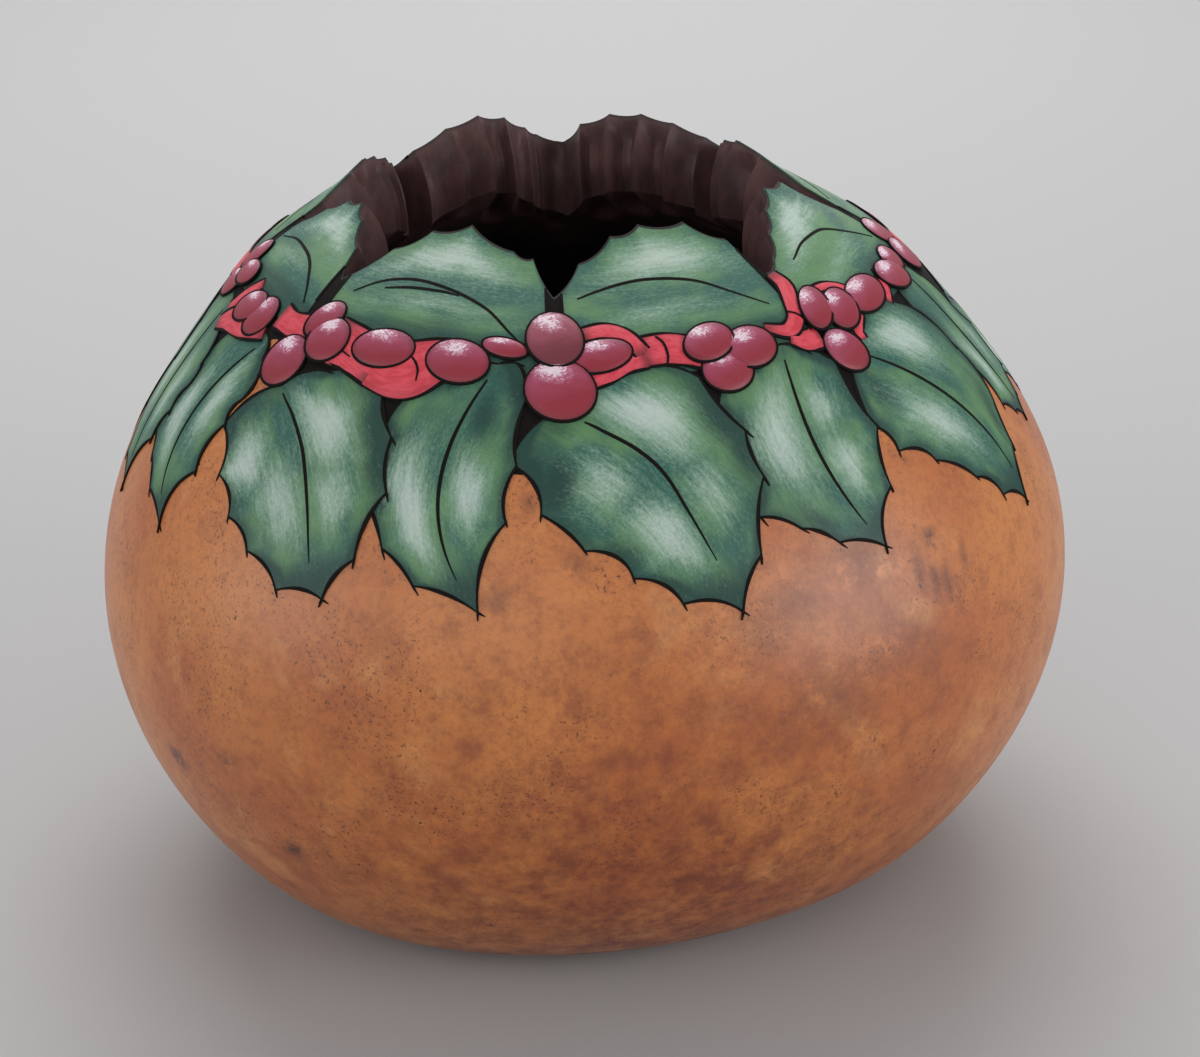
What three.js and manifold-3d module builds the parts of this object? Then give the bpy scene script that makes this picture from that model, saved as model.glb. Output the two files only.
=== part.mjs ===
// A carved and painted gourd bowl: one thick dried gourd, cut open along the tops of a ring of holly
// leaves, with coats of paint for the leaves, the berries and the ribbon that run round its shoulder.
// Millimetres and degrees, +Z up, front at -Y. Azimuth runs from the front towards +X, and tilt is the
// angle above the level of the belly's centre.
import * as THREE from "three";
import { mergeVertices } from "three/addons/utils/BufferGeometryUtils.js";
import Module from "manifold-3d";

const wasm = await Module();
wasm.setup();

// Body of the gourd
const footRadius = 46; // flat ring that it stands on
const bellyHeight = 75; // centre of the belly above the table
const haunchReach = 96.5; // distance from the belly's centre to the skin, at the tilts in the meridian
const lowerBellyReach = 101.3;
const bellyReach = 102;
const upperBellyReach = 97.9;
const shoulderReach = 90.8;
const neckReach = 88.8;
const rimReach = 87.7;
const crownReach = 99.1;
const ovalShare = 0.033; // how far the skin swells on two opposite sides
const ovalTurn = -140;
const lobeShare = -0.011; // how far it swells on three sides
const lobeTurn = 64;
const bellyShift = 0.8; // how far the belly stands to the right of the foot
const lean = -4; // sideways lean of the mouth
const leanTilt = 60;
const navelRadius = 10; // blossom scar under the foot
const navelDepth = 1.5;
const footBlend = 16; // tilt over which the swells fade out towards the round foot

// Wall
const rimWall = 15.5; // thickness that the carved rim shows
const bellyWall = 12;
const footWall = 13;
const footWallTop = -20; // tilt up to which the wall changes from foot to belly
const rimWallBottom = 0; // tilts between which it changes from belly to rim
const rimWallTop = 45;
const fluteDepth = 0.8; // hollow of each gouge cut between two spines of the rim

// Coats of paint
const coatGap = 0.3; // clearance between a coat and the skin, and between two coats
const stampBelow = -1.5; // the shape that a coat keeps free in the ones below it reaches from here
const stampAbove = 3; // and up to this far above the coats' undersides
const leafCoat = 0.5;
const ribbonCoat = 0.5;
const berryCoat = 0.5;
const berryCrown = 0.5; // how far the middle of a berry swells above its edge
const rimMargin = 0.6; // bare strip between an upper leaf's coat and the carved edge
const upperLeafFoot = 44.5; // tilt of the lower edge of the upper leaves
const notchMargin = 1.6; // azimuth left bare beside a notch
const scallopShare = 0.16; // hollow between two spines, as a share of their distance
const roundShare = 0.12; // swell of a round stretch near the stalk

// Colours
const paint = {
  skin: { color: 0xc27e48, roughness: 0.42 },
  leaf: { color: 0x4f8a70, roughness: 0.5 },
  berry: { color: 0xb8405c, roughness: 0.45 },
  ribbon: { color: 0xd8364a, roughness: 0.45 },
};

// The rim: each upper leaf runs from one notch to the next, and its spines stand at a share of that way
const upperLeaves = [
  { from: -2, notch: 52, spines: [[0.13, 57.5], [0.33, 61.4], [0.51, 62.6], [0.785, 61.9], [0.96, 58.1]] },
  { from: 46.7, notch: 51.5, spines: [[0.11, 53], [0.25, 56.4], [0.41, 59.2], [0.6, 61.2], [0.86, 59.8]] },
  { from: 91.5, notch: 49, spines: [[0.1, 56], [0.3, 61], [0.62, 62.3], [0.85, 61], [0.96, 59.5]] },
  { from: 132, notch: 56.5, spines: [[0.06, 60.5], [0.22, 63.2], [0.42, 64.7], [0.65, 64.4], [0.87, 62]] },
  {
    from: 181,
    notch: 56.4,
    spines: [[0.15, 59.5], [0.22, 61.6], [0.37, 64.4], [0.575, 65.4], [0.8, 63.4], [0.96, 59]],
  },
  {
    from: 229,
    notch: 52.8,
    spines: [[0.06, 56], [0.2, 59], [0.4, 61], [0.6, 62], [0.8, 60.5], [0.95, 55.5]],
  },
  {
    from: 278.5,
    notch: 49,
    spines: [[0.08, 52.5], [0.2, 56.4], [0.39, 59.3], [0.58, 60.1], [0.74, 58], [0.91, 54]],
  },
  {
    from: 312.7,
    notch: 48.8,
    spines: [[0.15, 55.7], [0.315, 59.8], [0.54, 61.7], [0.8, 58.8], [0.905, 58]],
  },
];

// The lower leaves as drawn: the midrib's base, middle and tip as azimuth and tilt, and the spines of
// each margin as millimetres along the midrib and out from it. The first stretches are round.
const drawnLeaves = {
  farLeft: {
    midrib: [[-72.7, 38.4], [-76.3, 24.4], [-73.3, 11.2]],
    left: { round: 2, spines: [[3, 9], [12, 14], [22, 15.5], [31, 14.5], [40, 9]] },
    right: { round: 3, spines: [[3.3, 5.6], [10.7, 10.4], [18.1, 12.2], [26.3, 12], [35.4, 9.8]] },
  },
  slimLeft: {
    midrib: [[-53.7, 37.5], [-61.8, 24.6], [-57.3, 12.1]],
    left: { round: 2, spines: [[5.3, 7.8], [14.5, 11.4], [30.2, 13.8], [33.9, 9.5], [39.7, 5.7]] },
    right: { round: 3, spines: [[1, 2.9], [2.5, 5.9], [9, 9.4], [16.3, 11.6], [38.2, 11.3]] },
  },
  broadLeft: {
    midrib: [[-45.8, 33.3], [-35.5, 23.4], [-29.6, 11.4]],
    left: { round: 1, spines: [[-0.4, 15.6], [11.6, 19], [23.6, 18.7], [33.2, 15.6], [42.6, 9.9]] },
    right: { round: 2, spines: [[3.7, 10], [12.8, 20.2], [21.2, 19], [29.6, 15.5], [39, 7.2]] },
  },
  slimMiddle: {
    midrib: [[-11.3, 41.6], [-17.8, 26.3], [-11.5, 12.3]],
    left: { round: 3, spines: [[10.1, 9.2], [18.3, 13.3], [28.3, 14.9], [36.5, 11.2], [42.8, 7.7]] },
    right: { round: 3, spines: [[-2, 2.5], [0, 5.6], [2.4, 7.8], [18, 12.9], [37.8, 12.5]] },
  },
  broadMiddle: {
    midrib: [[-1.7, 36.4], [13.1, 26.2], [19.1, 11.2]],
    left: { round: 1, spines: [[-3, 13.7], [8.4, 19.2], [23.9, 20], [38.3, 16.8], [48, 10.6]] },
    right: { round: 2, spines: [[7.9, 13.5], [18.2, 21.5], [28, 19.5], [34.6, 16], [44.4, 7]] },
  },
  slimRight: {
    midrib: [[37.8, 41.6], [35.5, 27.6], [40, 14.7]],
    left: { round: 3, spines: [[5.2, 7.4], [8.3, 14.8], [28.9, 17.9], [32.9, 12], [38.2, 7.2]] },
    right: { round: 3, spines: [[1.3, 5.1], [2.4, 8.7], [4.2, 11.2], [22.9, 15.8], [38, 10.4]] },
  },
  broadRight: {
    midrib: [[50.2, 37.9], [64.4, 26.4], [68.4, 11.4]],
    left: { round: 1, spines: [[5.6, 15.4], [13.5, 19], [26.4, 17.2], [41.6, 13.1], [50.6, 8.3]] },
    right: { round: 4, spines: [[4.8, 9.7], [15.5, 18], [27.9, 17], [38.4, 11.4], [45.2, 5.8]] },
  },
  farRight: {
    midrib: [[80, 42.8], [81.8, 28.2], [82.4, 17.2]],
    left: { round: 3, spines: [[1, 8], [9, 10.8], [20.3, 10], [35, 9], [40, 4.5]] },
    right: { round: 2, spines: [[5.5, 5.6], [14.5, 9], [22.6, 13], [33, 11], [39, 5]] },
  },
};

// The leaves in order round the gourd. Each lies over the next one. The ones behind repeat the drawn
// leaves, with the middle of the midrib at another azimuth.
const lowerLeaves = [
  { like: "farLeft" },
  { like: "slimLeft" },
  { like: "broadLeft" },
  { like: "slimMiddle" },
  { like: "broadMiddle" },
  { like: "slimRight" },
  { like: "broadRight" },
  { like: "farRight" },
  { like: "broadLeft", at: 102 },
  { like: "slimMiddle", at: 122 },
  { like: "broadMiddle", at: 142 },
  { like: "slimRight", at: 162 },
  { like: "broadRight", at: 182 },
  { like: "slimLeft", at: 202, mirrored: true },
  { like: "broadLeft", at: 223 },
  { like: "slimMiddle", at: 243 },
  { like: "broadMiddle", at: 264 },
];

// Berries: each group hangs at an azimuth and tilt. Each of its berries is so many millimetres east and
// north of that place, and has two half sizes and the turn of the long one.
const berryGroups = {
  berries_far_left: {
    at: [-74.8, 42.3],
    berries: [[0, 0, 5.4, 3, 12], [-6.1, 3, 5, 3.6, 50], [-6.1, -4.3, 6, 3.6, 25]],
  },
  berries_left_pair: { at: [-64.1, 39.7], berries: [[0, 0, 5.5, 3.3, 28], [6, -0.3, 5.1, 4, 46]] },
  berries_left_upper: { at: [-41.5, 40.3], berries: [[0, 0, 5, 4.3, 45], [-3.3, 3.7, 4.8, 3.2, 55]] },
  berry_left_lower: { at: [-47.9, 36], berries: [[0, 0, 5.8, 4.7, 55]] },
  berry_left_middle: { at: [-31, 41.2], berries: [[0, 0, 6.4, 3.9, 12]] },
  berry_front_left: { at: [-18.1, 41.3], berries: [[0, 0, 6, 4.4, 0]] },
  bud_front: { at: [-10.7, 43.8], berries: [[0, 0, 4.3, 2, -8]] },
  berries_front: {
    at: [-2.2, 45.5],
    berries: [[0, 0, 5.8, 5.3, 90], [0.6, -10.4, 6.6, 6, 0], [8.1, -3.4, 6.3, 3.3, 15]],
  },
  berries_front_right: {
    at: [25, 43.9],
    berries: [[0, 0, 5.5, 3.7, 21], [7.8, -2.5, 5.5, 4.3, 8], [1.4, -6.2, 5.2, 4.3, 9]],
  },
  berries_right_upper: {
    at: [49.4, 44.5],
    berries: [[0, 0, 5.3, 3.4, 55], [5.8, -2.4, 5.1, 4, 44], [15.1, -2.4, 6.8, 4, 4]],
  },
  berry_right_lower: { at: [49.5, 38.1], berries: [[0, 0, 5.2, 4.3, -52]] },
  berries_far_right: { at: [75.5, 42.2], berries: [[0, 0, 6.2, 3.6, -22], [6.3, 1.7, 4.4, 3.4, 0]] },
  berries_right_end: { at: [90.2, 40.9], berries: [[0, 0, 6.5, 4.4, -25], [2.2, 6.9, 6, 4, -28]] },
};

// Behind, groups of two and three berries hang in turn at these azimuths
const pair = [[-2.7, 0.6, 5.6, 4.2, 30], [3, -0.6, 5.4, 4.3, 45]];
const trio = [[-4.7, 2.5, 5.3, 4.1, 20], [3.5, 0.6, 5.3, 4.4, 6], [-2.3, -4.7, 5.2, 4.4, 0]];
const backAzimuths = [113, 136, 159, 182, 207, 232, 257];
const backBerryTilt = 41.5;
backAzimuths.forEach((azimuth, i) => {
  const berries = i % 2 === 0 ? pair : trio;
  berryGroups[`berries_back_${i + 1}`] = { at: [azimuth, backBerryTilt], berries };
});

// The ribbon: strips as azimuth, tilt and half width along the way
const ribbons = {
  ribbon_left: [[[-71.7, 35, 1.6], [-67.3, 36.8, 2.8], [-61.8, 36.9, 2.2], [-55.7, 38.4, 2.4]]],
  ribbon_left_knot: [[[-54.1, 40.9, 3], [-50.5, 40.5, 2.6], [-46.3, 40.7, 3.4]]],
  ribbon_left_fold: [
    [
      [-40.9, 41, 4.5],
      [-35.5, 40.1, 4.8],
      [-30.7, 38.9, 5],
      [-26.4, 39, 5.8],
      [-21.5, 41, 4.4],
      [-17.3, 42.3, 3],
    ],
  ],
  ribbon_front: [
    [[2.6, 46.2, 1.5], [7, 46.8, 1.7], [10.4, 45.9, 1.8], [12.8, 43.4, 1.8]],
    [[3, 39.3, 1], [5.8, 40.8, 2], [9.2, 42.1, 2], [13.1, 42.4, 1.6]],
    [[12.7, 43.6, 3.2], [17.3, 43.8, 3.4], [21, 43.2, 3.4], [24.6, 42, 3.4]],
  ],
  ribbon_curl: [
    [
      [47.2, 51, 1.5],
      [47.6, 48.9, 1.9],
      [45.5, 46.2, 1.6],
      [43.9, 44.1, 1.7],
      [40.9, 43, 1.7],
      [36.8, 44.2, 1],
    ],
    [[40.3, 41.9, 1.4], [42.8, 41, 2.2], [46.1, 40.9, 2.6]],
  ],
};

// Behind, a plain stretch of ribbon joins one group of berries to the next
const backRibbonEnds = [92, ...backAzimuths, 280];
const backRibbonHalf = 3.2;
const backRibbonSag = 1.4; // tilt that a stretch drops in its middle

// How finely the round forms are cut into facets
const columnSpan = 6; // widest azimuth of one column of the wall
const skinRings = [-44, -30, -16, -4, 7, 17, 27, 36]; // tilts between the foot and the upper leaves
const innerRings = [18, -9, -34];
const ringHalf = 5; // half the widest tilt between two rings under the paint
const scallopSteps = 2;
const midribSteps = 12;
const leafColumns = 4;
const upperLeafRows = 2;
const berrySides = 8;
const ribbonSteps = 2;

// Small steps for slopes, and the distance under which two points are one
const slopeStep = 0.05;
const midribStep = 0.01;
const samePoint = 1e-4;
const samePlace = 1e-6;
const shortEdge = 0.05; // what a cut leaves below this size is drawn together

const radians = THREE.MathUtils.degToRad;
const mix = THREE.MathUtils.lerp;

// A natural cubic spline through rising stations, each an angle and a value
function naturalSpline(stations) {
  const n = stations.length;
  const x = stations.map((s) => s[0]);
  const y = stations.map((s) => s[1]);
  const bend = new Array(n).fill(0);
  const upper = new Array(n).fill(0);
  for (let i = 1; i < n - 1; i++) {
    const before = x[i] - x[i - 1];
    const after = x[i + 1] - x[i];
    const slopes = (y[i + 1] - y[i]) / after - (y[i] - y[i - 1]) / before;
    const pivot = 2 * (before + after) - before * upper[i - 1];
    upper[i] = after / pivot;
    bend[i] = (6 * slopes - before * bend[i - 1]) / pivot;
  }
  for (let i = n - 2; i > 0; i--) bend[i] -= upper[i] * bend[i + 1];
  return (at) => {
    let i = 0;
    while (i < n - 2 && at > x[i + 1]) i++;
    const h = x[i + 1] - x[i];
    const a = (x[i + 1] - at) / h;
    const b = (at - x[i]) / h;
    return a * y[i] + b * y[i + 1] + (((a ** 3 - a) * bend[i] + (b ** 3 - b) * bend[i + 1]) * h * h) / 6;
  };
}

const footTilt = -THREE.MathUtils.radToDeg(Math.atan2(bellyHeight, footRadius));
const reachAt = naturalSpline([
  [footTilt, Math.hypot(footRadius, bellyHeight)],
  [-48, haunchReach],
  [-30, lowerBellyReach],
  [-10, bellyReach],
  [10, upperBellyReach],
  [30, shoulderReach],
  [45, neckReach],
  [60, rimReach],
  [75, crownReach],
]);

// A point of the skin. The swells fade out towards the foot, which is round and flat.
function skinPoint(azimuth, tilt) {
  const a = radians(azimuth);
  const t = radians(tilt);
  const level = Math.cos(t);
  const fade = THREE.MathUtils.smoothstep(tilt, footTilt, footTilt + footBlend);
  const oval = ovalShare * Math.cos(2 * a - radians(ovalTurn)) * level;
  const lobes = lobeShare * Math.cos(3 * a - radians(lobeTurn)) * level * level;
  const reach = reachAt(tilt) * (1 + fade * (oval + lobes));
  const aside = bellyShift * level ** 2 + lean * Math.max(0, tilt / leanTilt) ** 2;
  return new THREE.Vector3(
    reach * level * Math.sin(a) + aside,
    -reach * level * Math.cos(a),
    bellyHeight + reach * Math.sin(t),
  );
}

// The skin's outward direction at a point
function skinNormal(azimuth, tilt) {
  const along = skinPoint(azimuth + slopeStep, tilt).sub(skinPoint(azimuth - slopeStep, tilt));
  const up = skinPoint(azimuth, tilt + slopeStep).sub(skinPoint(azimuth, tilt - slopeStep));
  return along.cross(up).normalize();
}

function lifted(azimuth, tilt, lift) {
  return skinPoint(azimuth, tilt).addScaledVector(skinNormal(azimuth, tilt), lift);
}

// Millimetres that one degree of azimuth and one of tilt cover on the skin
function degreeSizes(azimuth, tilt) {
  const here = skinPoint(azimuth, tilt);
  return [skinPoint(azimuth + 1, tilt).distanceTo(here), skinPoint(azimuth, tilt + 1).distanceTo(here)];
}

// The place that lies east and north of another by so many millimetres on the skin
function shifted([azimuth, tilt], east, north) {
  const [perAzimuth, perTilt] = degreeSizes(azimuth, tilt);
  return [azimuth + east / perAzimuth, tilt + north / perTilt];
}

// The rim's knots, round from the first notch, and the tilt of the carved edge between them
const rimKnots = upperLeaves.flatMap((leaf, i) => {
  const next = i + 1 < upperLeaves.length ? upperLeaves[i + 1].from : upperLeaves[0].from + 360;
  const spines = leaf.spines.map(([share, tilt]) => [mix(leaf.from, next, share), tilt]);
  return [[leaf.from, leaf.notch], ...spines];
});
rimKnots.push([rimKnots[0][0] + 360, rimKnots[0][1]]);

function rimTilt(azimuth) {
  const start = rimKnots[0][0];
  const at = THREE.MathUtils.euclideanModulo(azimuth - start, 360) + start;
  let i = 0;
  while (i < rimKnots.length - 2 && at > rimKnots[i + 1][0]) i++;
  const [fromAzimuth, fromTilt] = rimKnots[i];
  const [toAzimuth, toTilt] = rimKnots[i + 1];
  const share = (at - fromAzimuth) / (toAzimuth - fromAzimuth);
  const hollow = (fluteDepth / radians(rimReach)) * 4 * share * (1 - share);
  return mix(fromTilt, toTilt, share) - hollow;
}

// Wall thickness from the foot up to the rim
function wallAt(tilt) {
  const low = THREE.MathUtils.smoothstep(tilt, footTilt, footWallTop);
  const high = THREE.MathUtils.smoothstep(tilt, rimWallBottom, rimWallTop);
  return mix(mix(footWall, bellyWall, low), rimWall, high);
}

// A solid from a list of points and faces, as manifold-3d holds it
function solidFrom(points, faces) {
  const geometry = new THREE.BufferGeometry();
  const numbers = points.flatMap((p) => p.toArray());
  geometry.setAttribute("position", new THREE.Float32BufferAttribute(numbers, 3));
  geometry.setIndex(faces.flat());
  const merged = mergeVertices(geometry, samePoint);
  const vertProperties = merged.attributes.position.array;
  const triVerts = new Uint32Array(merged.index.array);
  return new wasm.Manifold(new wasm.Mesh({ numProp: 3, vertProperties, triVerts }));
}

function geometryOf(solid) {
  const { vertProperties, triVerts } = solid.getMesh();
  const geometry = new THREE.BufferGeometry();
  geometry.setAttribute("position", new THREE.BufferAttribute(vertProperties, 3));
  geometry.setIndex(new THREE.BufferAttribute(triVerts, 1));
  const flat = geometry.toNonIndexed();
  flat.computeVertexNormals();
  return flat;
}

// Columns of the wall: one at every knot of the rim, and more where two knots lie far apart
const columns = rimKnots.slice(1).flatMap(([to], i) => {
  const from = rimKnots[i][0];
  const steps = Math.ceil((to - from) / columnSpan);
  return Array.from({ length: steps }, (_, k) => mix(from, to, k / steps));
});

// The gourd's wall: rings of points go up the skin, over the carved rim along the skin's outward
// direction, and down the inside, with a point in the middle of the foot and one inside above it.
function gourdShell() {
  const scar = navelRadius / footRadius;
  const outerTilts = [footTilt, ...skinRings];
  const innerTilts = [upperLeafFoot, ...innerRings, footTilt];
  const leafRings = Array.from({ length: upperLeafRows + 1 }, (_, row) => row / upperLeafRows);
  const rings = [
    columns.map((a) => skinPoint(a, footTilt).multiply(new THREE.Vector3(scar, scar, 0))),
    ...outerTilts.map((t) => columns.map((a) => skinPoint(a, t))),
    ...leafRings.map((share) => columns.map((a) => skinPoint(a, mix(upperLeafFoot, rimTilt(a), share)))),
    columns.map((a) => lifted(a, rimTilt(a), -wallAt(rimTilt(a)))),
    ...innerTilts.map((t) => columns.map((a) => lifted(a, t, -wallAt(t)))),
  ];
  const points = rings.flat();
  const count = columns.length;
  const faces = [];
  for (let r = 0; r < rings.length - 1; r++) {
    for (let c = 0; c < count; c++) {
      const next = (c + 1) % count;
      const [low, lowNext] = [r * count + c, r * count + next];
      faces.push([low, lowNext, lowNext + count], [low, lowNext + count, low + count]);
    }
  }
  const navel = points.push(new THREE.Vector3(0, 0, navelDepth)) - 1;
  const inside = points.push(new THREE.Vector3(0, 0, rings.at(-1)[0].z)) - 1;
  const last = (rings.length - 1) * count;
  for (let c = 0; c < count; c++) {
    const next = (c + 1) % count;
    faces.push([navel, next, c], [inside, last + c, last + next]);
  }
  return solidFrom(points, faces);
}

// How far the middle of a chord lies below the skin, or above it where the skin is hollow. The chord
// reaches half a facet to both sides of the place.
function chordDepth(azimuth, tilt, halfAzimuth, halfTilt) {
  const ends = [-1, 1].map((side) => skinPoint(azimuth + side * halfAzimuth, tilt + side * halfTilt));
  const middle = ends[0].lerp(ends[1], 0.5);
  return skinPoint(azimuth, tilt).sub(middle).dot(skinNormal(azimuth, tilt));
}

// The lift that keeps a coat's facets clear of the wall's, for hollow and for sharply curved skin
function clearance(azimuth, tilt) {
  const depths = [chordDepth(azimuth, tilt, 0, ringHalf), chordDepth(azimuth, tilt, columnSpan / 2, 0)];
  const rise = depths.reduce((sum, depth) => sum + Math.max(0, -depth, depth - coatGap), 0);
  return coatGap + rise;
}

// A solid on the skin: places as azimuth and tilt, faces that look outwards, and the loop of its edge,
// anticlockwise from outside. It reaches from one height to another at every place.
function raised({ places, faces, loop }, lowOf, highOf) {
  const count = places.length;
  const points = [
    ...places.map(([a, t]) => lifted(a, t, lowOf(a, t))),
    ...places.map(([a, t], i) => lifted(a, t, highOf(a, t, i))),
  ];
  const all = [];
  for (const [a, b, c] of faces) {
    all.push([a + count, b + count, c + count], [a, c, b]);
  }
  loop.forEach((a, i) => {
    const b = loop[(i + 1) % loop.length];
    all.push([a + count, a, b], [a + count, b, b + count]);
  });
  return solidFrom(points, all);
}

// A coat of paint, thicker by its crown at the first place, which is the centre of a berry
function coat(patch, thickness, crown = 0) {
  return raised(patch, clearance, (a, t, i) => clearance(a, t) + thickness + (i === 0 ? crown : 0));
}

// The shape that a coat keeps free in the ones below it
function stamp(patch) {
  return raised(patch, () => stampBelow, (a, t) => clearance(a, t) + stampAbove);
}

// A leaf's margin in leaf coordinates: hollow between spines, and swelling on the round stretches
function marginPoints(side, length, hand) {
  const knots = [[0, 0], ...side.spines, [length, 0]];
  const points = [];
  for (let i = 0; i < knots.length - 1; i++) {
    const [x0, y0] = knots[i];
    const [x1, y1] = knots[i + 1];
    const chord = Math.hypot(x1 - x0, y1 - y0);
    const depth = (i < side.round ? -roundShare : scallopShare) * chord;
    for (let k = 0; k < scallopSteps; k++) {
      const share = k / scallopSteps;
      const hollow = 4 * depth * share * (1 - share);
      const inward = [(y1 - y0) / chord, -(x1 - x0) / chord];
      const out = mix(y0, y1, share) + inward[1] * hollow;
      points.push([mix(x0, x1, share) + inward[0] * hollow, hand * out]);
    }
  }
  points.push([length, 0]);
  return points;
}

// The midrib is a parabola through its base, middle and tip
function midribAt([base, middle, tip], share) {
  const weights = [2 * (share - 0.5) * (share - 1), 4 * share * (1 - share), 2 * share * (share - 0.5)];
  return [0, 1].map((axis) => weights[0] * base[axis] + weights[1] * middle[axis] + weights[2] * tip[axis]);
}

function midribLength(midrib) {
  const places = Array.from({ length: midribSteps + 1 }, (_, i) => midribAt(midrib, i / midribSteps));
  const points = places.map(([a, t]) => skinPoint(a, t));
  return points.slice(1).reduce((sum, p, i) => sum + p.distanceTo(points[i]), 0);
}

// From leaf coordinates, in millimetres along the midrib and out to its right, to the skin
function onLeaf(midrib, length, [x, y]) {
  const share = THREE.MathUtils.clamp(x / length, 0, 1);
  const here = midribAt(midrib, share);
  const ahead = midribAt(midrib, share + midribStep);
  const [perAzimuth, perTilt] = degreeSizes(...here);
  const east = (ahead[0] - here[0]) * perAzimuth;
  const north = (ahead[1] - here[1]) * perTilt;
  const size = Math.hypot(east, north);
  const over = x - share * length;
  return shifted(here, (over * east - y * north) / size, (over * north + y * east) / size);
}

// A drawn leaf in its own place, or moved round the gourd, or mirrored as well
function placedLeaf({ like, at, mirrored }) {
  const { midrib, left, right } = drawnLeaves[like];
  const middle = midrib[1][0];
  const centre = at ?? middle;
  const hand = mirrored ? -1 : 1;
  return {
    midrib: midrib.map(([a, t]) => [centre + hand * (a - middle), t]),
    left: mirrored ? right : left,
    right: mirrored ? left : right,
  };
}

// A lower leaf's patch: rows cross it from margin to margin, and grow widens the outline
function lowerLeafPatch({ midrib, left, right }, grow = 0) {
  const length = midribLength(midrib);
  const stretch = ([x, y]) => [(x * (length + 2 * grow)) / length - grow, y + Math.sign(y) * grow];
  const leftMargin = marginPoints(left, length, -1).map(stretch);
  const rightMargin = marginPoints(right, length, 1).map(stretch);
  const rows = leftMargin.length - 1;
  const half = leafColumns / 2;
  const places = [];
  for (let row = 0; row <= rows; row++) {
    const middle = stretch([(length * row) / rows, 0]);
    for (let column = 0; column <= leafColumns; column++) {
      const edge = column < half ? leftMargin[row] : rightMargin[row];
      const share = Math.abs(column - half) / half;
      const point = [mix(middle[0], edge[0], share), mix(middle[1], edge[1], share)];
      places.push(onLeaf(midrib, length, point));
    }
  }
  return gridPatch(places, rows, leafColumns);
}

// A patch from rows of places that run downwards, each from left to right. A row whose places all lie
// at one point closes the patch there.
function gridPatch(places, rows, columns) {
  const width = columns + 1;
  const faces = [];
  const same = (i, j) => Math.hypot(places[i][0] - places[j][0], places[i][1] - places[j][1]) < samePlace;
  const pinched = (row) => same(row * width, row * width + columns);
  const index = (row, column) => row * width + (pinched(row) ? 0 : column);
  for (let row = 0; row < rows; row++) {
    for (let column = 0; column < columns; column++) {
      const [a, b] = [index(row, column), index(row, column + 1)];
      const [d, c] = [index(row + 1, column), index(row + 1, column + 1)];
      if (d !== c) faces.push([a, d, c]);
      if (a !== b) faces.push([a, c, b]);
    }
  }
  const down = Array.from({ length: rows + 1 }, (_, row) => index(row, 0));
  const across = Array.from({ length: columns - 1 }, (_, i) => index(rows, i + 1));
  const up = Array.from({ length: rows + 1 }, (_, row) => index(rows - row, columns));
  const back = Array.from({ length: columns - 1 }, (_, i) => index(0, columns - 1 - i));
  const loop = [...down, ...across, ...up, ...back].filter((v, i, all) => v !== all[(i + 1) % all.length]);
  return { places, faces, loop };
}

// An upper leaf's patch: from the ribbon up to the carved edge, between two notches
function upperLeafPatch(index) {
  const from = upperLeaves[index].from;
  const next = index + 1 < upperLeaves.length ? upperLeaves[index + 1].from : upperLeaves[0].from + 360;
  const inner = columns.filter((a) => a > from + notchMargin && a < next - notchMargin);
  const azimuths = [from + notchMargin, ...inner, next - notchMargin];
  const margin = rimMargin / radians(rimReach);
  const places = [];
  for (let row = 0; row <= upperLeafRows; row++) {
    const share = row / upperLeafRows;
    places.push(...azimuths.map((a) => [a, mix(rimTilt(a) - margin, upperLeafFoot, share)]));
  }
  return gridPatch(places, upperLeafRows, azimuths.length - 1);
}

// A berry's patch: a ring of places round its centre
function berryPatch(groupPlace, [groupEast, groupNorth, long, short, turn], grow = 0) {
  const centre = shifted(groupPlace, groupEast, groupNorth);
  const places = [centre];
  const faces = [];
  const angle = radians(turn);
  for (let i = 0; i < berrySides; i++) {
    const round = (2 * Math.PI * i) / berrySides;
    const [x, y] = [(long + grow) * Math.cos(round), (short + grow) * Math.sin(round)];
    const east = x * Math.cos(angle) - y * Math.sin(angle);
    const north = x * Math.sin(angle) + y * Math.cos(angle);
    places.push(shifted(centre, east, north));
    faces.push([0, 1 + i, 1 + ((i + 1) % berrySides)]);
  }
  const loop = Array.from({ length: berrySides }, (_, i) => 1 + i);
  return { places, faces, loop };
}

// A ribbon strip's patch: a smooth curve through its stations, with the half width at each
function ribbonPatch(strip, grow = 0) {
  const curve = new THREE.CatmullRomCurve3(strip.map(([a, t, half]) => new THREE.Vector3(a, t, half)));
  const steps = (strip.length - 1) * ribbonSteps;
  const places = [];
  for (let i = 0; i <= steps; i++) {
    const here = curve.getPoint(i / steps);
    const tangent = curve.getTangent(i / steps);
    const [perAzimuth, perTilt] = degreeSizes(here.x, here.y);
    const along = new THREE.Vector2(tangent.x * perAzimuth, tangent.y * perTilt).normalize();
    const end = i === 0 ? -grow : i === steps ? grow : 0;
    for (const side of [-1, 1]) {
      const out = side * (here.z + grow);
      places.push(shifted([here.x, here.y], along.x * end - along.y * out, along.y * end + along.x * out));
    }
  }
  return gridPatch(places, steps, 1);
}

function joined(solids) {
  return solids.reduce((sum, solid) => sum.add(solid));
}

// The largest body that is left of a solid, so that slivers beyond a cut are dropped
function mainBody(solid) {
  const bodies = solid.simplify(shortEdge).decompose();
  return bodies.reduce((best, body) => (body.volume() > best.volume() ? body : best));
}

function addPiece(group, name, solid, { color, roughness }) {
  const material = new THREE.MeshStandardMaterial({ color, roughness, metalness: 0 });
  const mesh = new THREE.Mesh(geometryOf(solid), material);
  mesh.name = name;
  group.add(mesh);
}

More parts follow.
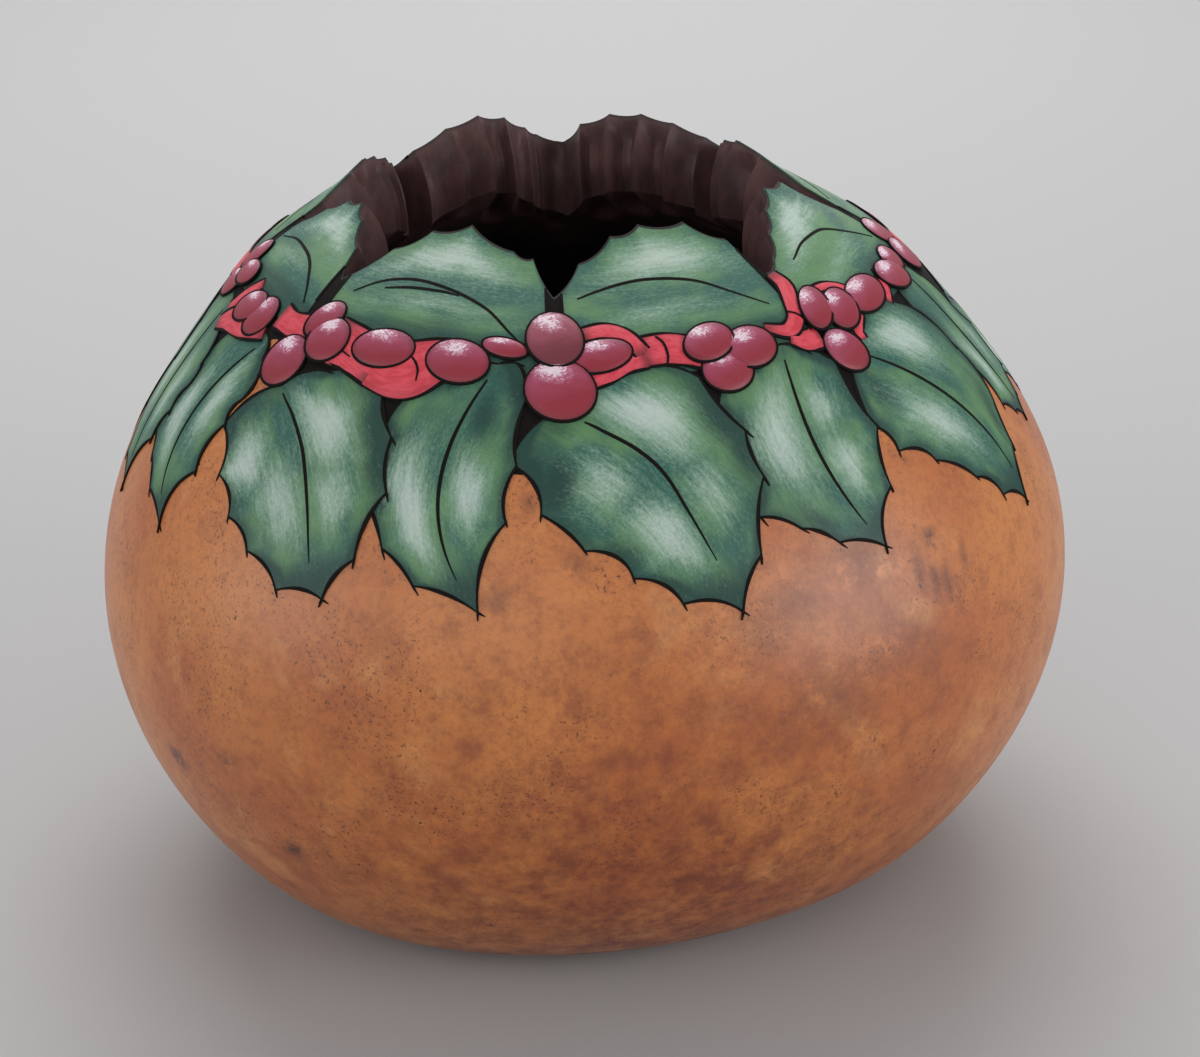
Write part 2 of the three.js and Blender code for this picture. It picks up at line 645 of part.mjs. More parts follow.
// All strips of ribbon, with the ones behind
const allRibbons = new Map(Object.entries(ribbons));
backRibbonEnds.slice(1).forEach((to, i) => {
  const from = backRibbonEnds[i];
  const middle = mix(from, to, 0.5);
  const strip = [
    [from, backBerryTilt, backRibbonHalf],
    [middle, backBerryTilt - backRibbonSag, backRibbonHalf],
    [to, backBerryTilt, backRibbonHalf],
  ];
  allRibbons.set(`ribbon_back_${i + 1}`, [strip]);
});

// The assembly. Berries lie on top, then the ribbon, then the leaves.
const gourd = new THREE.Group();
addPiece(gourd, "gourd_shell", gourdShell(), paint.skin);

// Where two groups of berries would meet, a group lies under the ones after it
const allGroups = Object.entries(berryGroups);
const berryStamps = allGroups.map(([, { at, berries }]) => {
  return joined(berries.map((berry) => stamp(berryPatch(at, berry, coatGap))));
});
allGroups.forEach(([name, { at, berries }], i) => {
  const solids = berries.map((berry) => coat(berryPatch(at, berry), berryCoat, berryCrown));
  const solid = berryStamps.slice(i + 1).reduce((rest, cover) => rest.subtract(cover), joined(solids));
  addPiece(gourd, name, mainBody(solid), paint.berry);
});

const berryStamp = joined(berryStamps);
const allStrips = [...allRibbons.values()].flat();
const ribbonStamp = joined(allStrips.map((strip) => stamp(ribbonPatch(strip, coatGap))));
for (const [name, strips] of allRibbons) {
  const solids = strips.map((strip) => coat(ribbonPatch(strip), ribbonCoat));
  addPiece(gourd, name, mainBody(joined(solids).subtract(berryStamp)), paint.ribbon);
}

const trimStamp = berryStamp.add(ribbonStamp);
for (let i = 0; i < upperLeaves.length; i++) {
  const solid = coat(upperLeafPatch(i), leafCoat).subtract(trimStamp);
  addPiece(gourd, `upper_leaf_${i + 1}`, mainBody(solid), paint.leaf);
}

const placedLeaves = lowerLeaves.map(placedLeaf);
placedLeaves.forEach((leaf, i) => {
  const above = placedLeaves.at(i - 1);
  const cover = trimStamp.add(stamp(lowerLeafPatch(above, coatGap)));
  const solid = coat(lowerLeafPatch(leaf), leafCoat).subtract(cover);
  addPiece(gourd, `lower_leaf_${i + 1}`, mainBody(solid), paint.leaf);
});

// The finished group stands with the middle of its outline over the origin
const box = new THREE.Box3().setFromObject(gourd);
const centre = box.getCenter(new THREE.Vector3());
gourd.position.set(-centre.x, -centre.y, 0);

export default gourd;
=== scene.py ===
"""Looks of the carved and painted gourd bowl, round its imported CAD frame.

Places on the skin are an azimuth and a tilt in degrees, as in the CAD source: azimuth runs from the
front (-Y) towards +X, and tilt is the angle above the belly's centre. Lengths are millimetres unless said
otherwise.
"""
import math

import bpy
import numpy as np
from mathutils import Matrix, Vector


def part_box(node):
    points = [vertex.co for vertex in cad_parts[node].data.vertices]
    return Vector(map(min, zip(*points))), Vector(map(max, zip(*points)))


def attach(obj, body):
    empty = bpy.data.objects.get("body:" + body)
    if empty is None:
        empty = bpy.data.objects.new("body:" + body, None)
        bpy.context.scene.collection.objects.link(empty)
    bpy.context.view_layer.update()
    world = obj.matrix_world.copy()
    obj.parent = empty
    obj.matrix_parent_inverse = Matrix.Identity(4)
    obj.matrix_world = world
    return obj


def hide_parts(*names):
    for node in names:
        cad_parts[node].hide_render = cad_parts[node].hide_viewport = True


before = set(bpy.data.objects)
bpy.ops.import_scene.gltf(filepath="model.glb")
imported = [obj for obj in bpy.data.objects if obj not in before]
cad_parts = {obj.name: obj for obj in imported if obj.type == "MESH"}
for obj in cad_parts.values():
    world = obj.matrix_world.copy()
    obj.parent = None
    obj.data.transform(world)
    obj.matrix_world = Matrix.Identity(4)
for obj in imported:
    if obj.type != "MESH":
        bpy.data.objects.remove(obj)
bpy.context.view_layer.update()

# Body of the gourd, as in the CAD source
FOOT_RADIUS = 46
BELLY_HEIGHT = 75
FOOT_TILT = -math.degrees(math.atan2(BELLY_HEIGHT, FOOT_RADIUS))
REACH_TILTS = [FOOT_TILT, -48, -30, -10, 10, 30, 45, 60, 75]
REACHES = [math.hypot(FOOT_RADIUS, BELLY_HEIGHT), 96.5, 101.3, 102, 97.9, 90.8, 88.8, 87.7, 99.1]
OVAL_SHARE, OVAL_TURN = 0.033, -140
LOBE_SHARE, LOBE_TURN = -0.011, 64
BELLY_SHIFT = 0.8
LEAN, LEAN_TILT = -4, 60
FOOT_BLEND = 16
NAVEL_RADIUS, NAVEL_DEPTH = 10, 1.5
RIM_WALL, BELLY_WALL, FOOT_WALL = 15.5, 12, 13
RIM_REACH = 87.7
FLUTE_DEPTH = 0.8
RIM_MARGIN = 0.6
UPPER_LEAF_FOOT = 44.5
NOTCH_MARGIN = 1.6
SCALLOP_SHARE, ROUND_SHARE = 0.11, 0.12  # depth of a margin's hollows and of its round stretches, per chord

# Heights of the coats above the skin
LEAF_LOW, LEAF_HIGH = 0.08, 0.28
UPPER_LEAF = 0.2
WEDGE = 0.12
GROUND = 0.05
RIBBON = 0.42
BERRY = 0.5
BERRY_CROWN = 0.4
BERRY_STEP = 0.16  # each berry of a group lies this much above the next
LINE_LIFT = 0.06
SUNK = -0.3
FACET_SAG = 0.12  # the skin here stays this far inside the CAD's, whose facets cut its roundness
LIP = 0.8  # stained strip of the skin along the carved edge
GOUGE = 2.6  # how much deeper the carved flutes go in the middle of the wall
FLUTE_END, FLUTE_ENDS_VARY = 6, 2.5  # how far below the inner edge they run out, in degrees
INNER_DROP = 5.5  # how far the cut face drops on its way to the inner edge
UNDERPAINT = (28, 45.5)  # tilts between which the skin among the leaves and berries is painted dark
CROWN_FOOT = 40.5  # tilt down to which the upper leaves are painted, under the ribbon
LONG_STRETCH = 15.5  # margin stretches longer than this are nearly straight
STRAIGHT_HOLLOW = 0.4
FLUTE_BACK = 0.8  # the inner wall lies back behind a flute by this share of the flute's depth
UPPER_LEAF_SINK = 0.14  # an upper leaf sinks by this much towards its foot, to go under the ribbon
WEDGE_HALF, WEDGE_FOOT = 2.3, 43.5  # half width of the black paint below a notch, and the tilt of its foot
BARE_AT, BARE_REACH, BARE_RISE = -52, 6, 10  # where the black ground stays higher, in degrees
RIBBON_STEP, RIBBON_CROWN = 0.03, 0.12  # each strip lies lower than the one before, and swells in its middle

UPPER_LEAVES = [
    (-2, 52, [(0.13, 57.5), (0.33, 61.4), (0.51, 62.6), (0.785, 61.9), (0.96, 58.1)]),
    (46.7, 51.5, [(0.11, 53), (0.25, 56.4), (0.41, 59.2), (0.6, 61.2), (0.86, 59.8)]),
    (91.5, 49, [(0.1, 56), (0.3, 61), (0.62, 62.3), (0.85, 61), (0.96, 59.5)]),
    (132, 56.5, [(0.06, 60.5), (0.22, 63.2), (0.42, 64.7), (0.65, 64.4), (0.87, 62)]),
    (181, 56.4, [(0.15, 59.5), (0.22, 61.6), (0.37, 64.4), (0.575, 65.4), (0.8, 63.4), (0.96, 59)]),
    (229, 52.8, [(0.06, 56), (0.2, 59), (0.4, 61), (0.6, 62), (0.8, 60.5), (0.95, 55.5)]),
    (278.5, 49, [(0.08, 52.5), (0.2, 56.4), (0.39, 59.3), (0.58, 60.1), (0.74, 58), (0.91, 54)]),
    (312.7, 48.8, [(0.15, 55.7), (0.315, 59.8), (0.54, 61.7), (0.8, 58.8), (0.905, 58)]),
]

# The midrib's base, middle and tip, and each margin's round stretches and spines
DRAWN = {
    "farLeft": ([(-72.7, 38.4), (-76.3, 24.4), (-73.3, 11.2)],
                (2, [(3, 9), (12, 14), (22, 15.5), (31, 14.5), (40, 9)]),
                (3, [(3.3, 5.6), (10.7, 10.4), (18.1, 12.2), (26.3, 12), (35.4, 9.8)])),
    "slimLeft": ([(-53.7, 37.5), (-61.8, 24.6), (-57.3, 12.1)],
                 (2, [(5.3, 7.8), (14.5, 11.4), (30.2, 13.8), (33.9, 9.5), (39.7, 5.7)]),
                 (3, [(1, 2.9), (2.5, 5.9), (9, 9.4), (16.3, 11.6), (38.2, 11.3)])),
    "broadLeft": ([(-45.8, 33.3), (-35.5, 23.4), (-29.6, 11.4)],
                  (1, [(-0.4, 15.6), (11.6, 19), (23.6, 18.7), (33.2, 15.6), (42.6, 9.9)]),
                  (2, [(3.7, 10), (12.8, 20.2), (21.2, 19), (29.6, 15.5), (39, 7.2)])),
    "slimMiddle": ([(-11.3, 41.6), (-17.8, 26.3), (-11.5, 12.3)],
                   (3, [(10.1, 9.2), (18.3, 13.3), (28.3, 14.9), (36.5, 11.2), (42.8, 7.7)]),
                   (3, [(-2, 2.5), (0, 5.6), (2.4, 7.8), (18, 12.9), (37.8, 12.5)])),
    "broadMiddle": ([(-1.7, 36.4), (13.1, 26.2), (19.1, 11.2)],
                    (1, [(-3, 13.7), (8.4, 19.2), (23.9, 20), (38.3, 16.8), (48, 10.6)]),
                    (2, [(7.9, 13.5), (18.2, 21.5), (28, 19.5), (34.6, 16), (44.4, 7)])),
    "slimRight": ([(37.8, 41.6), (35.5, 27.6), (40, 14.7)],
                  (3, [(5.2, 7.4), (8.3, 14.8), (28.9, 17.9), (32.9, 12), (38.2, 7.2)]),
                  (3, [(1.3, 5.1), (2.4, 8.7), (4.2, 11.2), (22.9, 15.8), (38, 10.4)])),
    "broadRight": ([(50.2, 37.9), (64.4, 26.4), (68.4, 11.4)],
                   (1, [(5.6, 15.4), (13.5, 19), (26.4, 17.2), (41.6, 13.1), (50.6, 8.3)]),
                   (4, [(4.8, 9.7), (15.5, 18), (27.9, 17), (38.4, 11.4), (45.2, 5.8)])),
    "farRight": ([(80, 42.8), (81.8, 28.2), (82.4, 17.2)],
                 (3, [(1, 8), (9, 10.8), (20.3, 10), (35, 9), (40, 4.5)]),
                 (2, [(5.5, 5.6), (14.5, 9), (22.6, 13), (33, 11), (39, 5)])),
}
# Burnt midribs that bend more than the leaf's own parabola
LEAF_RIBS = {
    "broadLeft": [(-45.2, 32.2), (-41.6, 30), (-38.3, 27), (-36.1, 23.8), (-34, 19.7), (-32.1, 14.8)],
    "broadMiddle": [(1.7, 34.7), (3.8, 33.8), (8.6, 31.3), (12, 28.1), (14.4, 23.2), (16.9, 17.2)],
}
# Where each drawn leaf was brushed pale, or dark where the strength is negative, on its left and right half:
# place along, reach, place across, strength
LEAF_GLOWS = {
    "farLeft": ([(0.45, 0.3, -0.45, 1)], [(0.5, 0.3, 0.4, 0.9)]),
    "slimLeft": ([(0.55, 0.28, -0.4, 1)], [(0.35, 0.3, 0.45, 1)]),
    "broadLeft": ([(0.27, 0.16, -0.7, 1.15), (0.55, 0.26, -0.4, 0.95)],
                  [(0.3, 0.22, 0.34, 1.2), (0.6, 0.16, 0.28, 0.9), (0.45, 0.3, 0.95, -0.9)]),
    "slimMiddle": ([(0.62, 0.24, -0.42, 1.2), (0.12, 0.1, -0.7, -0.7)],
                   [(0.55, 0.2, 0.45, 1.1), (0.2, 0.14, 0.5, -0.7)]),
    "broadMiddle": ([(0.3, 0.16, -0.45, 0.8), (0.64, 0.22, -0.42, 1.1), (0.14, 0.12, -0.8, -0.9),
                     (0.6, 0.2, -1, -0.7)],
                    [(0.27, 0.2, 0.42, 1.25), (0.6, 0.14, 0.3, 0.7), (0.5, 0.3, 0.95, -0.8)]),
    "slimRight": ([(0.4, 0.26, -0.36, 1.05), (0.75, 0.14, -0.8, -0.6)],
                  [(0.3, 0.14, 0.42, 0.9), (0.62, 0.18, 0.36, 1)]),
    "broadRight": ([(0.45, 0.26, -0.45, 1), (0.12, 0.14, -0.5, -0.6)],
                   [(0.26, 0.18, 0.5, 1.15), (0.7, 0.16, 0.7, -0.6)]),
    "farRight": ([(0.62, 0.26, -0.4, 1)], [(0.5, 0.25, 0.4, 0.7)]),
}
LOWER_LEAVES = [
    ("farLeft", None, 1), ("slimLeft", None, 1), ("broadLeft", None, 1), ("slimMiddle", None, 1),
    ("broadMiddle", None, 1), ("slimRight", None, 1), ("broadRight", None, 1), ("farRight", None, 1),
    ("broadLeft", 102, 1), ("slimMiddle", 122, 1), ("broadMiddle", 142, 1), ("slimRight", 162, 1),
    ("broadRight", 182, 1), ("slimLeft", 202, -1), ("broadLeft", 223, 1), ("slimMiddle", 243, 1),
    ("broadMiddle", 264, 1),
]
# Each group's place, and for each berry the millimetres east and north of it, two half sizes and the turn
BERRIES = {
    "berries_far_left": ((-74.8, 42.3),
                         [(0, 0, 5.4, 3, 12), (-6.1, 3, 5, 3.6, 50), (-6.1, -4.3, 6, 3.6, 25)]),
    "berries_left_pair": ((-64.1, 39.7), [(0, 0, 5.5, 3.3, 28), (6, -0.3, 5.1, 4, 46)]),
    "berries_left_upper": ((-41.5, 40.3), [(0, 0, 5, 4.3, 45), (-3.3, 3.7, 4.8, 3.2, 55)]),
    "berry_left_lower": ((-47.9, 36), [(0, 0, 5.8, 4.7, 55)]),
    "berry_left_middle": ((-31, 41.2), [(0, 0, 6.4, 3.9, 12)]),
    "berry_front_left": ((-18.1, 41.3), [(0, 0, 6, 4.4, 0)]),
    "bud_front": ((-10.7, 43.8), [(0, 0, 4.3, 2, -8)]),
    "berries_front": ((-2.2, 45.5),
                      [(0, 0, 5.8, 5.3, 90), (0.6, -10.4, 6.6, 6, 0), (8.1, -3.4, 6.3, 3.3, 15)]),
    "berries_front_right": ((25, 43.9),
                            [(0, 0, 5.5, 3.7, 21), (7.8, -2.5, 5.5, 4.3, 8), (1.4, -6.2, 5.2, 4.3, 9)]),
    "berries_right_upper": ((49.4, 44.5),
                            [(0, 0, 5.3, 3.4, 55), (5.8, -2.4, 5.1, 4, 44), (15.1, -2.4, 6.8, 4, 4)]),
    "berry_right_lower": ((49.5, 38.1), [(0, 0, 5.2, 4.3, -52)]),
    "berries_far_right": ((75.5, 42.2), [(0, 0, 6.2, 3.6, -22), (6.3, 1.7, 4.4, 3.4, 0)]),
    "berries_right_end": ((90.2, 40.9), [(0, 0, 6.5, 4.4, -25), (2.2, 6.9, 6, 4, -28)]),
}
DARK_BERRY = ("berries_front", 0)
PAIR = [(-2.7, 0.6, 5.6, 4.2, 30), (3, -0.6, 5.4, 4.3, 45)]
TRIO = [(-4.7, 2.5, 5.3, 4.1, 20), (3.5, 0.6, 5.3, 4.4, 6), (-2.3, -4.7, 5.2, 4.4, 0)]
BACK_TILT = 41.5
BACK_AZIMUTHS = [113, 136, 159, 182, 207, 232, 257]
for number, at in enumerate(BACK_AZIMUTHS):
    BERRIES[f"berries_back_{number + 1}"] = ((at, BACK_TILT), TRIO if number % 2 else PAIR)

# Strips of ribbon: azimuth, tilt and half width along the way
RIBBONS = {
    "ribbon_left": [[(-71.7, 35, 1.6), (-67.3, 36.8, 2.8), (-61.8, 36.9, 2.2), (-55.7, 38.4, 2.4)]],
    "ribbon_left_knot": [[(-54.1, 40.9, 3), (-50.5, 40.5, 2.6), (-46.3, 40.7, 3.4)]],
    "ribbon_left_fold": [[(-40.9, 41, 4.5), (-35.5, 40.1, 4.8), (-30.7, 38.9, 5), (-26.4, 39, 5.8),
                          (-21.5, 41, 4.4), (-17.3, 42.3, 3)]],
    "ribbon_front": [[(2.6, 46.2, 1.5), (7, 46.8, 1.7), (10.4, 45.9, 1.8), (12.8, 43.4, 1.8)],
                     [(3, 39.3, 1), (5.8, 40.8, 2), (9.2, 42.1, 2), (13.1, 42.4, 1.6)],
                     [(12.7, 43.6, 3.2), (17.3, 43.8, 3.4), (21, 43.2, 3.4), (24.6, 42, 3.4)]],
    "ribbon_curl": [[(47.2, 51, 1.5), (47.6, 48.9, 1.9), (45.5, 46.2, 1.6), (43.9, 44.1, 1.7),
                     (40.9, 43, 1.7), (36.8, 44.2, 1)],
                    [(40.3, 41.9, 1.4), (42.8, 41, 2.2), (46.1, 40.9, 2.6)]],
}
RIBBON_ENDS = [92, *BACK_AZIMUTHS, 280]
for number, (start, end) in enumerate(zip(RIBBON_ENDS[:-1], RIBBON_ENDS[1:])):
    middle = ((start + end) / 2, BACK_TILT - 1.4, 3.2)
    RIBBONS[f"ribbon_back_{number + 1}"] = [[(start, BACK_TILT, 3.2), middle, (end, BACK_TILT, 3.2)]]

# Ribbon ends that are too thin for the solids
SMALL_RIBBONS = [
    [(-43.4, 38.1, 1.6), (-39.8, 38.4, 1.8), (-36, 38.2, 1.8), (-32, 37, 1.4)],
    [(-71.5, 37.4, 1.2), (-68.3, 40.3, 2), (-65.5, 43, 1.4)],
    [(52.1, 46.7, 1), (56.3, 46.3, 1.2), (59.5, 44.8, 1.2), (59.8, 42.6, 0.9)],
    [(57.8, 41.2, 0.9), (54.7, 39.7, 1.3), (54.5, 38.3, 1)],
    [(72, 44.3, 0.9), (69.8, 42, 1.2), (67, 40.3, 0.9)],
]

# Burnt lines where a ribbon folds
FOLDS = [
    [(-26, 41), (-24.8, 40.2), (-24.1, 39.2), (-24, 37.9)],
    [(-42.6, 38.2), (-41.2, 39.3), (-38.8, 39.6), (-36, 39)],
    [(15.8, 45.6), (16.8, 44.6), (16.9, 42.8), (16.2, 41.4)],
    [(43.2, 45.4), (44.8, 44.6), (45.6, 43.4), (45.2, 42)],
]

# Burnt midribs of the upper leaves; the ones behind repeat the first
UPPER_RIBS = [
    [(2.8, 51.8), (6.7, 52.9), (12.2, 54), (18.2, 54.5), (25, 54.1), (30.6, 52.9), (35.9, 50.3),
     (41.3, 47.2)],
    [(55.9, 51.5), (62.9, 52.8), (71, 52.7), (75.7, 51.6), (81.8, 48.4), (85.3, 46.2)],
    [(-42.5, 47.6), (-38.5, 50), (-33.8, 51.4), (-28.3, 51.8), (-21.2, 51), (-14.8, 49.1), (-10.1, 46),
     (-8.5, 44.9)],
    [(-36.5, 49.4), (-31.2, 50.4), (-24.7, 50.8), (-21, 50.6)],
    [(-51.2, 43.6), (-53.8, 46.1), (-58.4, 48.8), (-63.9, 50), (-71.2, 50.2), (-78.3, 48.8)],
]
for at in (93, 134, 183, 231):
    UPPER_RIBS.append([(at + a, t) for a, t in UPPER_RIBS[0]])

# Stains on the skin: azimuth, tilt, reach in degrees both ways, strength
STAINS = [
    (35.7, 14, 5, 4, 0.55), (26, 11.5, 5, 3, 0.45), (21, 8, 3, 2, 0.35), (39, 4, 6, 4, 0.35),
    (29, -1, 6, 4, 0.35), (47.2, 13.6, 1.1, 1, 1.2), (44, 10.8, 0.9, 3, 0.65), (46, 9.4, 0.8, 2.6, 0.7),
    (47.8, 8, 0.8, 3, 0.65), (49, 6, 0.8, 2.4, 0.55), (51.5, 10, 0.8, 2, 0.5), (6.8, 24.5, 1.2, 1, 0.8),
    (-0.4, 17.8, 1.2, 1, 0.7), (-9.2, 13.8, 1.4, 1, 0.8), (-6.2, 24.6, 1, 1, 0.7),
    (-52, -13.8, 1.8, 1.3, 1.2), (-41.7, -10.5, 1.3, 1, 1), (-35.3, -20.9, 1.2, 1, 1.2),
    (150, 5, 8, 6, 0.6), (-130, -8, 6, 7, 0.5), (95, -15, 8, 6, 0.6),
]
# Where painted shade darkens the skin low down, partly the skin's own red-brown: azimuth and reach
SHADE_AND_RED_BROWN_SIDES = ((8, 42), (150, 45), (235, 30))

# The view of the photograph, in metres and degrees
LENS, SENSOR = 75.33, 36
CAMERA_HEIGHT_ANGLE, CAMERA_DISTANCE = 23.4, 0.55
CAMERA_AIM = (0.0042, 0, 0.0724)


def spline(at, x=np.array(REACH_TILTS, float), y=np.array(REACHES, float)):
    """The natural cubic spline through the meridian's stations: on each stretch of width h, with a and b the
    shares to its two ends, a*y0 + b*y1 + ((a^3 - a)*m0 + (b^3 - b)*m1)*h^2/6, where the bends m solve the
    usual system."""
    h = np.diff(x)
    inner = len(x) - 2
    system = np.diag(2 * (h[:-1] + h[1:])) + np.diag(h[1:-1], 1) + np.diag(h[1:-1], -1)
    bends = np.zeros(len(x))
    bends[1:1 + inner] = np.linalg.solve(system, 6 * np.diff(np.diff(y) / h))
    i = np.clip(np.searchsorted(x, at) - 1, 0, len(x) - 2)
    a, b = (x[i + 1] - at) / h[i], (at - x[i]) / h[i]
    return a * y[i] + b * y[i + 1] + ((a**3 - a) * bends[i] + (b**3 - b) * bends[i + 1]) * h[i] ** 2 / 6


def smooth(value, low, high):
    """Rises from 0 at low to 1 at high as 3t^2 - 2t^3 of the share t between them."""
    t = np.clip((value - low) / (high - low), 0, 1)
    return t * t * (3 - 2 * t)


def skin(azimuth, tilt):
    """A point of the skin in millimetres: reach(tilt) times one plus an oval and a three-lobed swell, less
    the facets' sag, at that tilt and azimuth, moved sideways by the belly's shift and the mouth's lean."""
    a, t = np.radians(azimuth), np.radians(tilt)
    level = np.cos(t)
    fade = smooth(tilt, FOOT_TILT, FOOT_TILT + FOOT_BLEND)
    oval = OVAL_SHARE * np.cos(2 * a - math.radians(OVAL_TURN)) * level
    lobes = LOBE_SHARE * np.cos(3 * a - math.radians(LOBE_TURN)) * level**2
    reach = spline(tilt) * (1 + fade * (oval + lobes)) - fade * FACET_SAG
    aside = BELLY_SHIFT * level**2 + LEAN * np.clip(tilt / LEAN_TILT, 0, None) ** 2
    return np.stack([reach * level * np.sin(a) + aside, -reach * level * np.cos(a),
                     BELLY_HEIGHT + reach * np.sin(t)], -1)


def unit(v):
    return v / np.linalg.norm(v, axis=-1, keepdims=True)


def normal(azimuth, tilt, step=0.05):
    """Outward from the skin: the cross product of its steps along the azimuth and up the tilt."""
    along = skin(azimuth + step, tilt) - skin(azimuth - step, tilt)
    up = skin(azimuth, tilt + step) - skin(azimuth, tilt - step)
    return unit(np.cross(along, up))


def lifted(azimuth, tilt, lift):
    """A point of the skin moved outwards by so many millimetres."""
    azimuth, tilt = np.broadcast_arrays(np.asarray(azimuth, float), np.asarray(tilt, float))
    return skin(azimuth, tilt) + normal(azimuth, tilt) * np.asarray(lift, float)[..., None]


def shifted(azimuth, tilt, east, north):
    """The place that lies east and north of another by so many millimetres on the skin."""
    here = skin(azimuth, tilt)
    per_azimuth = np.linalg.norm(skin(azimuth + 1, tilt) - here, axis=-1)
    per_tilt = np.linalg.norm(skin(azimuth, tilt + 1) - here, axis=-1)
    return azimuth + east / per_azimuth, tilt + north / per_tilt


RIM_KNOTS = []
for number, (start, notch, spines) in enumerate(UPPER_LEAVES):
    end = UPPER_LEAVES[number + 1][0] if number + 1 < len(UPPER_LEAVES) else UPPER_LEAVES[0][0] + 360
    RIM_KNOTS += [(start, notch)] + [(start + (end - start) * share, tilt) for share, tilt in spines]
RIM_KNOTS.append((RIM_KNOTS[0][0] + 360, RIM_KNOTS[0][1]))
KNOT_AZIMUTHS, KNOT_TILTS = np.array(RIM_KNOTS, float).T


def rim_tilt(azimuth):
    """The carved edge: straight in tilt between knots, less a parabola that hollows each stretch."""
    at = np.mod(azimuth - KNOT_AZIMUTHS[0], 360) + KNOT_AZIMUTHS[0]
    i = np.clip(np.searchsorted(KNOT_AZIMUTHS, at, side="right") - 1, 0, len(KNOT_AZIMUTHS) - 2)
    share = (at - KNOT_AZIMUTHS[i]) / (KNOT_AZIMUTHS[i + 1] - KNOT_AZIMUTHS[i])
    hollow = math.degrees(FLUTE_DEPTH / RIM_REACH) * 4 * share * (1 - share)
    return KNOT_TILTS[i] + (KNOT_TILTS[i + 1] - KNOT_TILTS[i]) * share - hollow


def wall(tilt):
    """The wall's thickness: the foot's, the belly's and the rim's, with a smooth rise between each two."""
    low = smooth(tilt, FOOT_TILT, -20)
    thin = FOOT_WALL + (BELLY_WALL - FOOT_WALL) * low
    return thin + (RIM_WALL - thin) * smooth(tilt, 0, 45)


def make(name, points, quads, attributes, material, replaced=(), slot="skin", sharp=35):
    """A mesh object from points in millimetres and quads; a quad that repeats a corner becomes a triangle."""
    mesh = bpy.data.meshes.new(name)
    mesh.from_pydata((points * 0.001 + SHIFT).tolist(), [], without_repeats(quads))
    mesh.validate()
    for key, values in attributes.items():
        kind = "FLOAT_VECTOR" if values.ndim == 2 else "FLOAT"
        layer = mesh.attributes.new(key, kind, "POINT")
        layer.data.foreach_set("vector" if values.ndim == 2 else "value", values.astype(np.float32).ravel())
    mesh.shade_smooth()
    mesh.set_sharp_from_angle(angle=math.radians(sharp))
    mesh.materials.append(material)
    piece = bpy.data.objects.new(name, mesh)
    bpy.context.scene.collection.objects.link(piece)
    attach(piece, "root")
    if replaced:
        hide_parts(*replaced)


def grid_quads(rows, columns, closed=False):
    """Quads of a grid of points stored row by row, with the last column joined to the first where closed."""
    r, c = np.meshgrid(np.arange(rows - 1), np.arange(columns if closed else columns - 1), indexing="ij")
    right = (c + 1) % columns
    return np.stack([r * columns + c, r * columns + right, (r + 1) * columns + right, (r + 1) * columns + c],
                    -1).reshape(-1, 4)


def without_repeats(quads):
    """Quads as lists, with those that have two equal corners as triangles."""
    faces = ([corner for i, corner in enumerate(quad) if corner != quad[i - 1]] for quad in quads.tolist())
    return [face for face in faces if len(face) > 2]


def renumbered(quads, used, count):
    """Quads over the used ones of so many points."""
    number = np.zeros(count, int)
    number[used] = np.arange(len(used))
    return number[quads]


def joined(solids):
    """Several solids as one: their points, quads and attributes one after another."""
    starts = np.cumsum([0] + [len(points) for points, _, _ in solids])
    quads = np.concatenate([solid[1] + start for solid, start in zip(solids, starts)])
    attributes = {key: np.concatenate([solid[2][key] for solid in solids]) for key in solids[0][2]}
    return np.concatenate([solid[0] for solid in solids]), quads, attributes


def sheet_solid(azimuth, tilt, lift):
    """A closed thin solid over a grid of places: the top lies lift above the skin, the underside inside the
    wall, and a band joins their edges. Faces point outwards where rows run from north to south and columns
    from west to east, or both are turned alike."""
    rows, columns = azimuth.shape
    top = lifted(azimuth, tilt, lift)
    under = lifted(azimuth, tilt, np.full(azimuth.shape, SUNK))
    count = rows * columns
    face = grid_quads(rows, columns)
    index = np.arange(count).reshape(rows, columns)
    loop = np.concatenate([index[:, 0], index[-1, 1:], index[-2::-1, -1], index[0, -2:0:-1]])
    after = np.roll(loop, -1)
    band = np.stack([loop + count, after + count, after, loop], -1)
    quads = np.concatenate([face[:, ::-1], face + count, band])
    return np.concatenate([top.reshape(-1, 3), under.reshape(-1, 3)]), quads


def twice(values):
    """An attribute's values for the top of a sheet solid and again for its underside."""
    return np.concatenate([values, values])


def curve(points, steps):
    """A Catmull-Rom curve through the stations, with steps points on each stretch."""
    p = np.array(points, float)
    p = np.concatenate([[2 * p[0] - p[1]], p, [2 * p[-1] - p[-2]]])
    t = np.linspace(0, 1, steps, endpoint=False)[:, None]
    parts = []
    for before, start, end, after in zip(p[:-3], p[1:-2], p[2:-1], p[3:]):
        square = (2 * before - 5 * start + 4 * end - after) * t**2
        cube = (3 * start - before - 3 * end + after) * t**3
        parts.append(0.5 * (2 * start + (end - before) * t + square + cube))
    return np.concatenate(parts + [p[-2:-1]])


def band_places(path):
    """A path of azimuth, tilt and half width turned into a grid: each of its points, moved to both sides by
    up to its half width, at a right angle to the path."""
    azimuth, tilt, half = path.T
    here = skin(azimuth, tilt)
    tangent = unit(np.gradient(here, axis=0))
    side = np.cross(normal(azimuth, tilt), tangent)
    east = unit(skin(azimuth + 0.1, tilt) - here)
    north = unit(skin(azimuth, tilt + 0.1) - here)
    across = np.linspace(-1, 1, 7)
    out = across * half[:, None]
    return shifted(azimuth[:, None], tilt[:, None], out * (side * east).sum(-1)[:, None],
                   out * (side * north).sum(-1)[:, None]), across


LINES = []


